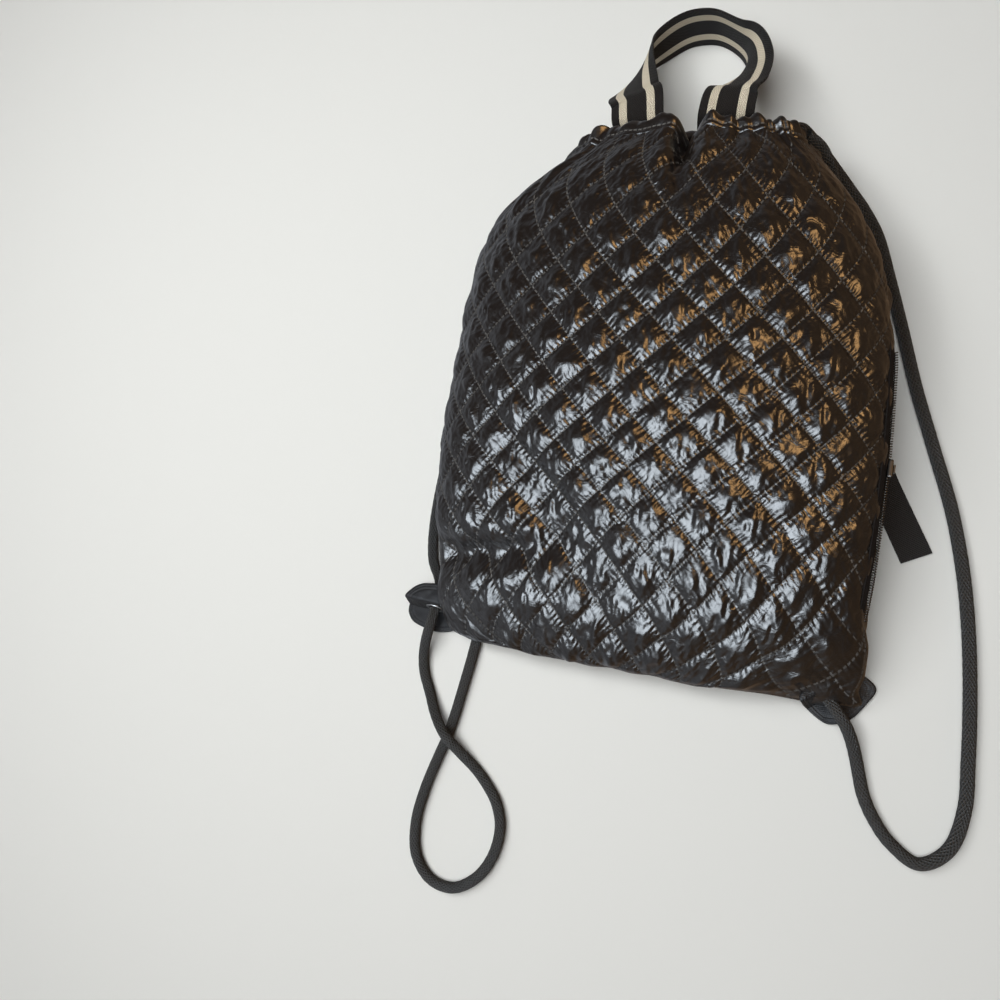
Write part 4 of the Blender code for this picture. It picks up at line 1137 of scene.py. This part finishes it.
def strap_piece(name, centres, widths, width, thickness, finish, curl):
    """x = share w/2 on two faces at -d/2 and d/2, joined by one point at each edge. The section
    bows by curl (share^2 - 0.4)."""
    ahead = unit(np.gradient(centres, axis=0))
    widths = unit(widths - ahead * (widths * ahead).sum(1, keepdims=True))
    normals = np.cross(ahead, widths)
    spread = np.linspace(-1, 1, FACE_POINTS) * width / 2 * FACE_SHARE
    face = np.concatenate([spread, [width / 2], spread[::-1], [-width / 2]])
    level = np.full(FACE_POINTS, thickness / 2)
    high = np.concatenate([-level, [0], level, [0]])
    bow = curl[:, None] * ((face / (width / 2)) ** 2 - 0.4)[None]
    grid = centres[:, None] + widths[:, None] * face[None, :, None]
    grid = grid + normals[:, None] * (high[None] + bow)[..., None]
    rows, columns = grid.shape[:2]
    length = length_along(centres)
    uv = np.stack([np.repeat(face[None], rows, 0), np.repeat(length[:, None], columns, 1)], -1)
    k = np.arange(FACE_POINTS)
    cap = np.stack([k[:-1], 2 * FACE_POINTS - k[:-1], 2 * FACE_POINTS - k[1:], k[1:]], -1)
    ends = [cap, (rows - 1) * columns + cap[:, ::-1]]
    quads = np.concatenate([grid_quads(rows, columns, close_columns=True), *ends])
    piece = mesh_piece(name, grid, quads, finish, {"strap": uv})
    sharp = piece.modifiers.new("edge", "EDGE_SPLIT")
    sharp.split_angle = math.radians(50)
    return piece


print("a strap has", 2 * FACE_POINTS + 2, "points round it")

# %% [markdown]
# The carry handle's two ends lie flat on the back of the casing, and its top stands on edge on the
# floor, so the webbing turns by a quarter on its way round. Half of the route is written down and
# mirrored.

# %% Carry handle
HANDLE_WIDTH, HANDLE_THICKNESS = 0.038, 0.0016
HANDLE_SPACING = 0.060
HANDLE_REACH = 0.100
HANDLE_FROM = 0.93
HANDLE_STEPS = 240
CASING_PROUD = 0.0012
FOOT_POINTS = 7

foot_shares = np.linspace(HANDLE_FROM, 1.0, FOOT_POINTS)
back = np.full(FOOT_POINTS, 1.5 * np.pi)
foot_lift = CASING_PROUD + CLEARANCE + HANDLE_THICKNESS / 2
lifted = plain_surface(foot_shares, back) + plain_normal(foot_shares, back) * foot_lift
mouth_y, mouth_z = lifted[-1, 1:]
middle_x = MIDDLE_SHARE * HALF_WIDTH - 0.011
stand = HANDLE_WIDTH / 2 + CLEARANCE
half = HANDLE_SPACING / 2
side = [(half, y, max(z, CLEARANCE + HANDLE_THICKNESS)) for x, y, z in lifted]
side += [
    (half + 0.001, mouth_y + 0.006, mouth_z + 0.010),
    (half + 0.003, mouth_y + 0.020, mouth_z + 0.012),
    (half + 0.008, mouth_y + 0.30 * HANDLE_REACH, mouth_z + 0.006),
    (half + 0.011, mouth_y + 0.52 * HANDLE_REACH, (mouth_z + stand) / 2 + 0.004),
    (half + 0.006, mouth_y + 0.78 * HANDLE_REACH, stand + 0.003),
    (half * 0.55, mouth_y + 0.96 * HANDLE_REACH, stand),
]
route = [(middle_x - x, y, z) for x, y, z in side]
route.append((middle_x, mouth_y + HANDLE_REACH, stand))
route += [(middle_x + x, y, z) for x, y, z in reversed(side)]
centres, handle_length = smooth_path(route, count=HANDLE_STEPS)
share = np.linspace(-1, 1, HANDLE_STEPS)
turn = np.clip((1 - np.abs(share)) / 0.62 - 0.45, 0, 1)
turn = (3 * turn**2 - 2 * turn**3) * np.pi / 2
widths = np.stack([np.cos(turn), 0 * turn, np.sin(turn)], 1)
curl = 0.0009 * np.sin(share * 7.0 + 0.6) * (1 - share**4)
handle = strap_piece(
    "striped_handle", centres, widths, HANDLE_WIDTH, HANDLE_THICKNESS, striped_webbing, curl
)
hand_over(handle, "carry_handle")
print("handle", round(handle_length, 3), "m of webbing")

# %% [markdown]
# A short end of plain webbing sticks out of the side seam, slopes down and lies on the floor. It is
# the same strap as the handle, along a straight path.

# %% Side strap
SIDE_STRAP_WIDTH, SIDE_STRAP_THICKNESS = 0.020, 0.0016
SIDE_STRAP_LENGTH = 0.085
SIDE_STRAP_STEPS = 120
STRAP_ROOT = (0.442, 0.460)
STRAP_TURN = math.radians(-62)
FLOOR_HEIGHT = CLEARANCE + SIDE_STRAP_THICKNESS / 2
# Share of the strap's length, and its height over the floor there.
STRAP_HEIGHTS = (
    (0.00, 0.0118), (0.10, 0.0104), (0.20, 0.0070), (0.30, 0.0034), (0.42, FLOOR_HEIGHT),
    (0.60, FLOOR_HEIGHT), (0.80, FLOOR_HEIGHT), (1.00, FLOOR_HEIGHT),
)

ahead = np.array([math.cos(STRAP_TURN), math.sin(STRAP_TURN), 0.0])
root = np.array([STRAP_ROOT[0] * BAG_WIDTH, BOTTOM_Y + STRAP_ROOT[1] * BAG_LENGTH, 0.0])
route = [root + ahead * share * SIDE_STRAP_LENGTH + (0, 0, z) for share, z in STRAP_HEIGHTS]
centres, _ = smooth_path(route, count=SIDE_STRAP_STEPS)
centres[:, 2] = np.maximum(centres[:, 2], FLOOR_HEIGHT)
widths = np.repeat(np.array([[-ahead[1], ahead[0], 0.0]]), SIDE_STRAP_STEPS, 0)
no_curl = np.zeros(SIDE_STRAP_STEPS)
strap = strap_piece(
    "side_webbing", centres, widths, SIDE_STRAP_WIDTH, SIDE_STRAP_THICKNESS, plain_webbing, no_curl
)
hand_over(strap, "side_strap")

# %% [markdown]
# A doubled piece of plain cloth is sewn over each bottom corner and a metal eyelet goes through it.
# The cloth steps down from the bag to the floor at the eyelet, so its middle surface is a profile:
# level, a round bend, steep, a bend back, level. Outlines are in widths of the eyelet's flange.

# %% Patch sizes
PATCH_THICKNESS = 0.003
PATCH_REST = 0.0019
PATCH_MARGIN = 0.0005
PATCH_BEND = 0.0022
EYELET_BORE = 0.0104
EYELET_FLANGE = 0.0152
EYELET_SHEET = 0.0006
SLOPE = math.radians(70)
STEEP_END = (EYELET_FLANGE / 2 + PATCH_MARGIN) * math.cos(SLOPE)
BEND_END = STEEP_END + PATCH_BEND * math.sin(SLOPE)
HALF_DROP = STEEP_END * math.tan(SLOPE) + PATCH_BEND * (1 - math.cos(SLOPE))
EYELET_HEIGHT = PATCH_REST + HALF_DROP
PATCHES = {
    "left": {
        "x": -0.462, "y": 0.048, "out": -93,
        "outline": (
            (-1.10, 0.49), (-0.50, 0.59), (0.00, 0.70), (0.50, 0.93), (0.95, 1.18), (1.32, 0.30),
            (1.28, -0.70), (1.05, -1.45), (0.45, -1.80), (-0.35, -1.50), (-0.95, -0.85), (-1.15, 0.00),
        ),
    },
    "right": {
        "x": 0.421, "y": 0.018, "out": -49,
        "outline": (
            (-0.485, 0.15), (-0.46, -0.80), (-0.05, -1.00), (0.60, -0.92), (1.25, -0.60), (1.52, 0.20),
            (1.30, 1.20), (0.95, 1.90), (0.15, 1.75), (-0.55, 1.35), (-0.49, 0.75),
        ),
    },
}


def patch_profile(along):
    """Height and slope of the middle surface: h = r tan(slope) on the steep part, and
    HALF_DROP - B + sqrt(B^2 - b^2) in a bend of radius B, where b is the way into the bend."""
    side, reach = np.sign(along), np.abs(along)
    into_bend = np.clip(BEND_END - reach, 0.0, PATCH_BEND * math.sin(SLOPE))
    drop = np.sqrt(PATCH_BEND**2 - into_bend**2)
    steep = reach < STEEP_END
    height = np.where(steep, reach * math.tan(SLOPE), HALF_DROP - (PATCH_BEND - drop))
    tilt = np.where(steep, -math.tan(SLOPE), -into_bend / drop)
    return EYELET_HEIGHT - side * height, tilt


print("eyelets", round(EYELET_HEIGHT, 4), "m over the floor")

# %% [markdown]
# The patches are of plain woven cloth with two rows of stitches along the border. Drawing the rows
# on each outline would be two curves more, so the UV map 'edge' gives metres from the border and
# metres round it, so the rows follow any outline.

# %% Patch cloth
PATCH_CLOTH = (0.0062, 0.0058, 0.0066)
PATCH_THREAD = (0.022, 0.021, 0.022)
STITCH_ROWS = (0.0022, 0.0046)
PATCH_STITCH, PATCH_DASH = 0.0027, (0.0, 0.72)
PATCH_THREAD_HALF_WIDTH = 0.00032
PATCH_WEAVE_DEPTH = 0.00007


def patch_cloth_material():
    """Matte woven cloth with two rows of stitches."""
    made, tree, shader = new_material("corner patch cloth")
    maths = calculator(tree)
    from_edge, along, _ = uv_parts(tree, "edge")
    _, _, place = uv_parts(tree, "strap")
    weave = add_node(tree, "ShaderNodeGroup", {"Place": place}, node_tree=WEAVE).outputs["Height"]
    rows = []
    for row in STITCH_ROWS:
        away = maths("ABSOLUTE", maths("SUBTRACT", from_edge, row))
        rows.append(stitch_row(tree, away, PATCH_THREAD_HALF_WIDTH, along, PATCH_STITCH, PATCH_DASH))
    thread = maths("MAXIMUM", *rows)
    height = maths("MULTIPLY", thread, THREAD_HEIGHT)
    height = maths("MULTIPLY_ADD", weave, PATCH_WEAVE_DEPTH, height)
    feed(tree, shader, {
        "Base Color": colour_mix(tree, thread, PATCH_CLOTH, PATCH_THREAD),
        "Normal": relief(tree, height), "Roughness": 0.55, "Specular IOR Level": 0.30,
        "Sheen Weight": 0.04,
    })
    return made


patch_cloth = patch_cloth_material()
print("patch cloth", PATCH_CLOTH)

# %% [markdown]
# A flat cut-out can't carry even rows of stitches along its border. Rings of points that run from
# the eyelet's hole to the outline can, on both faces, joined round the hole and round the border.

# %% Corner patch
PATCH_SPOKES, PATCH_RINGS = 240, 40
OUTLINE_POINTS = 400
SEWN_SHARE, SEWN_WIDTH = 0.16, 0.0007


def patch_reach(outline, theta):
    """Distance from the eyelet to the outline in each direction, and the outline's length."""
    outline = np.array(outline) * EYELET_FLANGE
    border, length = smooth_path([(a, b, 0) for a, b in (*outline, outline[0])], count=OUTLINE_POINTS)
    bearing = np.unwrap(np.arctan2(border[:, 1], border[:, 0]))
    if bearing[-1] < bearing[0]:
        border, bearing = border[::-1], bearing[::-1]
    wrapped = (theta - bearing[0]) % (2 * np.pi) + bearing[0]
    return np.interp(wrapped, bearing, np.hypot(border[:, 0], border[:, 1])), length


def corner_patch(side):
    """Middle surface + normal (half thickness, rounded at the border and pinched at the stitches)."""
    place = PATCHES[side]
    turn = math.radians(place["out"])
    centre = np.array([place["x"] * BAG_WIDTH, BOTTOM_Y + place["y"] * BAG_LENGTH])
    ahead = np.array([math.cos(turn), math.sin(turn)])
    across = np.array([-ahead[1], ahead[0]])
    theta = np.arange(PATCH_SPOKES) * 2 * np.pi / PATCH_SPOKES
    reach, border_length = patch_reach(place["outline"], theta)
    hole = EYELET_BORE / 2 + EYELET_SHEET + CLEARANCE
    ring = np.linspace(0, 1, PATCH_RINGS)[:, None]
    u = hole * math.cos(SLOPE) * np.cos(theta) * (1 - ring) + reach * np.cos(theta) * ring
    v = hole * np.sin(theta) * (1 - ring) + reach * np.sin(theta) * ring
    height, tilt = patch_profile(u)
    normal = unit(np.stack([-tilt * ahead[0], -tilt * ahead[1], np.ones_like(u)], -1))
    middle = np.concatenate([centre + u[..., None] * ahead + v[..., None] * across, height[..., None]], -1)
    from_edge = np.hypot(u - u[-1], v - v[-1])
    half = PATCH_THICKNESS / 2 * (0.45 + 0.55 * np.sqrt(np.clip(from_edge / 0.0016, 0, 1)))
    for row in STITCH_ROWS:
        half = half * (1 - SEWN_SHARE * np.exp(-(((from_edge - row) / SEWN_WIDTH) ** 2)))
    ripple = 0.00025 * smooth_noise(u * 260, v * 260, 91)
    top = middle + normal * (half + ripple)[..., None]
    under = middle - normal * half[..., None]
    under[..., 2] = np.maximum(under[..., 2], 0.0002)
    arc = np.arange(PATCH_SPOKES) / PATCH_SPOKES * border_length
    arc = np.repeat(arc[None], 2 * PATCH_RINGS, 0)
    edge, u, v = (np.concatenate([values, values[::-1]]) for values in (from_edge, u, v))
    uvs = {"edge": np.stack([edge, arc], -1), "strap": np.stack([u, v], -1)}
    quads = grid_quads(2 * PATCH_RINGS, PATCH_SPOKES, close_columns=True, close_rows=True)
    sheet = np.concatenate([top, under[::-1]])
    piece = mesh_piece(f"{side}_corner_cloth", sheet, quads, patch_cloth, uvs)
    hand_over(piece, f"{side}_corner_patch")


east = patch_reach(PATCHES["right"]["outline"], np.zeros(1))[0][0]
print("the right patch reaches", round(east, 4), "m outwards from its eyelet")

# %% [markdown]
# A rolled eyelet is a thin tube whose ends curl over both faces of the cloth. It is round, so its
# profile is drawn once and turned about the eyelet's axis, as on a lathe. Each patch is then made
# with its eyelet.

# %% Rolled eyelets
EYELET_STEPS = 96
ROLL_POINTS, THROAT_POINTS = 16, 10


def rolled_eyelet(side):
    """r = bore + roll (1 + cos a) and z = inside + sheet sin(a)^0.75 on each face, a straight throat
    between them and a plain inner side."""
    bore, flange = EYELET_BORE / 2, EYELET_FLANGE / 2
    inside = PATCH_THICKNESS / 2 + CLEARANCE
    roll = (flange - bore) / 2
    sweep = np.linspace(0, np.pi, ROLL_POINTS)
    radius = bore + roll + roll * np.cos(sweep)
    height = inside + 0.00015 + EYELET_SHEET * np.sin(sweep) ** 0.75
    throat_z = np.linspace(inside, -inside, THROAT_POINTS)[1:-1]
    outer, inner = flange * 0.97, bore + EYELET_SHEET
    r = np.concatenate([radius, np.full(len(throat_z), bore), radius[::-1], [outer, inner, inner, outer]])
    z = np.concatenate([height, throat_z, -height[::-1], [-inside, -inside, inside, inside]])
    theta = np.arange(EYELET_STEPS) * 2 * np.pi / EYELET_STEPS
    grid = np.stack([
        r[:, None] * np.cos(theta), r[:, None] * np.sin(theta), np.repeat(z[:, None], EYELET_STEPS, 1)
    ], -1)
    place = PATCHES[side]
    turn = Euler((0.0, SLOPE, math.radians(place["out"]))).to_matrix()
    centre = (place["x"] * BAG_WIDTH, BOTTOM_Y + place["y"] * BAG_LENGTH, EYELET_HEIGHT)
    grid = grid @ np.array(turn).T + centre
    quads = grid_quads(len(r), EYELET_STEPS, close_columns=True, close_rows=True)[:, ::-1]
    piece = mesh_piece(f"{side}_rolled_eyelet", grid, quads, eyelet_metal)
    hand_over(piece, f"{side}_eyelet")


for side in PATCHES:
    corner_patch(side)
    rolled_eyelet(side)

# %% [markdown]
# A coil zip is two spirals of stiff thread that hook into each other. From outside it reads as a
# row of fine bars along the right side seam, so one flattened spiral along the closed zip gives it.

# %% Zip coil
ZIP_FROM, ZIP_TO, SLIDER_AT = 0.150, 0.600, 0.40
ZIP_TAPE_THICKNESS = 0.0010
ZIP_COIL_DIAMETER = 0.0032
SLIDER_LENGTH = 0.011
TOOTH_PITCH = 0.0016
COIL_SINK = 0.0006
WIRE_RADIUS = 0.00042
WIRE_SIDES = 8
POINTS_PER_TURN = 14


def zip_coil(name, start, end, node_name):
    """A wire wound round the zip's line: 0.75 r cos(turn) outwards + 1.15 r sin(turn) across it."""
    shares = np.linspace(start, end, 200)
    level = np.zeros_like(shares)
    out = plain_normal(shares, level)
    lift = 2 * CLEARANCE - COIL_SINK + ZIP_TAPE_THICKNESS + ZIP_COIL_DIAMETER / 2
    line = plain_surface(shares, level) + out * lift
    length = length_along(line)
    turns = int(length[-1] / TOOTH_PITCH)
    line = even_points(line, length, turns * POINTS_PER_TURN)
    out = unit(even_points(out, length, turns * POINTS_PER_TURN))
    up = np.cross(unit(np.gradient(line, axis=0)), out)
    wound = 2 * np.pi * np.linspace(0, length[-1], turns * POINTS_PER_TURN) / TOOTH_PITCH
    reach = ZIP_COIL_DIAMETER / 2 - WIRE_RADIUS
    path = line + out * (np.cos(wound) * reach * 0.75)[:, None]
    path = path + up * (np.sin(wound) * reach * 1.15)[:, None]
    sides, ups = carried_frames(path)
    theta = (np.arange(WIRE_SIDES) * 2 * np.pi / WIRE_SIDES)[None, :, None]
    grid = path[:, None] + WIRE_RADIUS * (np.cos(theta) * sides[:, None] + np.sin(theta) * ups[:, None])
    piece = mesh_piece(name, grid, grid_quads(len(path), WIRE_SIDES, close_columns=True), zip_metal)
    hand_over(piece, node_name)
    print(name, turns, "turns")


inset = (ZIP_TO - ZIP_FROM) * 0.02
gap = 2 * CLEARANCE / CLOTH_LENGTH
half_slider = 0.5 * SLIDER_LENGTH / CLOTH_LENGTH
zip_coil("zip_teeth_lower", ZIP_FROM + inset + gap, SLIDER_AT - half_slider - gap, "side_zip_coil_lower")
zip_coil("zip_teeth_upper", SLIDER_AT + half_slider + gap, ZIP_TO - inset - gap, "side_zip_coil_upper")

# %% [markdown]
# The zip's tape, slider and puller have the right shape as solids already, so they stay and only
# get their own finishes: dull cloth and dark metal.

# %% Finishes on solids
SOLID_FINISHES = {"side_zip_tape": zip_cloth, "zip_slider": zip_metal, "zip_puller": zip_metal}
for name, finish in SOLID_FINISHES.items():
    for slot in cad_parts[name].material_slots:
        slot.material = finish
print("solids that stay:", list(SOLID_FINISHES))

# %% [markdown]
# The floor is a pale, dull surface without edges in the picture. It would show as a white sheet in
# the shiny cloth, so it isn't mirrored.

# %% Floor
FLOOR_SIZE = 6.0
FLOOR_LEVEL = -0.0002
corners = np.array([(-1, -1, 0), (1, -1, 0), (1, 1, 0), (-1, 1, 0)]) * FLOOR_SIZE / 2
corners[:, 2] = FLOOR_LEVEL
pale_floor = plain_material("pale floor", (0.80, 0.805, 0.795), 0.9, specular=0.1)
floor = mesh_piece("floor", corners, [(0, 1, 2, 3)], pale_floor)
floor.visible_glossy = False
print("floor", FLOOR_SIZE, "m wide")

# %% [markdown]
# The cloth is nearly black, so what shows it is what it mirrors: a wide cool window beyond the
# bottom of the bag, with a brighter open pane in it, and a small warm lamp to the right. Those
# three are only mirrored. Two more lights, which nothing mirrors, brighten the matte floor and give
# the soft shadow at the bag's lower right. One lamp could not do both, because a bright floor needs
# far more light than the cloth may mirror.

# %% Lights
WINDOW_AIM = (0, -0.02, 0.05)
LIGHTS = (
    # name, place, aim, size, radiance, colour, whether the cloth mirrors it
    ("window", (-0.24, -0.98, 1.30), WINDOW_AIM, (1.62, 1.55), 3.6, (0.80, 0.90, 1.0), True),
    ("open pane", (-0.20, -0.93, 1.235), WINDOW_AIM, (0.98, 0.95), 5.6, (0.84, 0.92, 1.0), True),
    ("warm lamp", (0.86, 0.28, 1.30), (0.04, 0, 0.08), (0.62, 0.60), 7.0, (1.0, 0.56, 0.22), True),
    ("sky", (-0.22, -0.10, 1.35), (-0.08, -0.06, 0), (1.1, 1.1), 4.2, (0.985, 1.0, 0.985), False),
    ("key", (-0.80, 0.30, 1.15), (0.05, -0.05, 0), (0.45, 0.45), 7.7, (0.99, 1.0, 0.98), False),
)


def area_light(name, place, aim, size, radiance, colour, mirrored):
    """A rectangular light whose surface has this radiance: power = radiance pi width height."""
    data = bpy.data.lights.new(name, "AREA")
    data.shape = "RECTANGLE"
    data.size, data.size_y = size
    data.energy = radiance * math.pi * size[0] * size[1]
    data.color = colour
    made = add_object(name, data)
    back = unit(np.array(place) - np.array(aim))
    across = unit(np.cross((0.0, 0.0, 1.0), back))
    stand_at(made, across, np.cross(back, across), back, place)
    made.visible_diffuse = not mirrored
    made.visible_glossy = mirrored
    print(name, round(data.energy, 2), "W")


for light in LIGHTS:
    area_light(*light)

# %% [markdown]
# Past the lights the cloth mirrors a dim room: cool on the left, brown on the right and dark above.
# A picture of a room could be wrapped round the scene, but three colours blended by direction are
# enough for a mirror as crumpled as this.

# %% Room
ROOM_LEFT = (0.27, 0.285, 0.31)
ROOM_RIGHT = (0.17, 0.108, 0.062)
ROOM_ABOVE = (0.060, 0.048, 0.040)
LEFT_TO_RIGHT, LOW_TO_HIGH = (-0.55, 0.35), (0.05, 0.65)


def blend_by(tree, value, low, high):
    """0 where the value is under low and 1 over high, easing in and out."""
    inputs = {"Value": value, "From Min": low, "From Max": high}
    return add_node(tree, "ShaderNodeMapRange", inputs, interpolation_type="SMOOTHSTEP").outputs[0]


world = bpy.data.worlds.new("room")
bpy.context.scene.world = world
world.use_nodes = True
tree = world.node_tree
facing = add_node(tree, "ShaderNodeTexCoord").outputs["Generated"]
direction = add_node(tree, "ShaderNodeSeparateXYZ", {0: facing}).outputs
sides = colour_mix(tree, blend_by(tree, direction[0], *LEFT_TO_RIGHT), ROOM_LEFT, ROOM_RIGHT)
room = colour_mix(tree, blend_by(tree, direction[2], *LOW_TO_HIGH), sides, ROOM_ABOVE)
feed(tree, tree.nodes["Background"], {"Color": room})
bpy.context.scene.view_settings.view_transform = "Standard"
print("room", ROOM_LEFT, ROOM_RIGHT, ROOM_ABOVE)

# %% [markdown]
# The dressed bag has to be as large as its solids. The last cell counts the scene's meshes and lights.

# %% Count meshes and lights
print(len(bpy.data.meshes), "meshes,", len(bpy.data.lights), "lights")
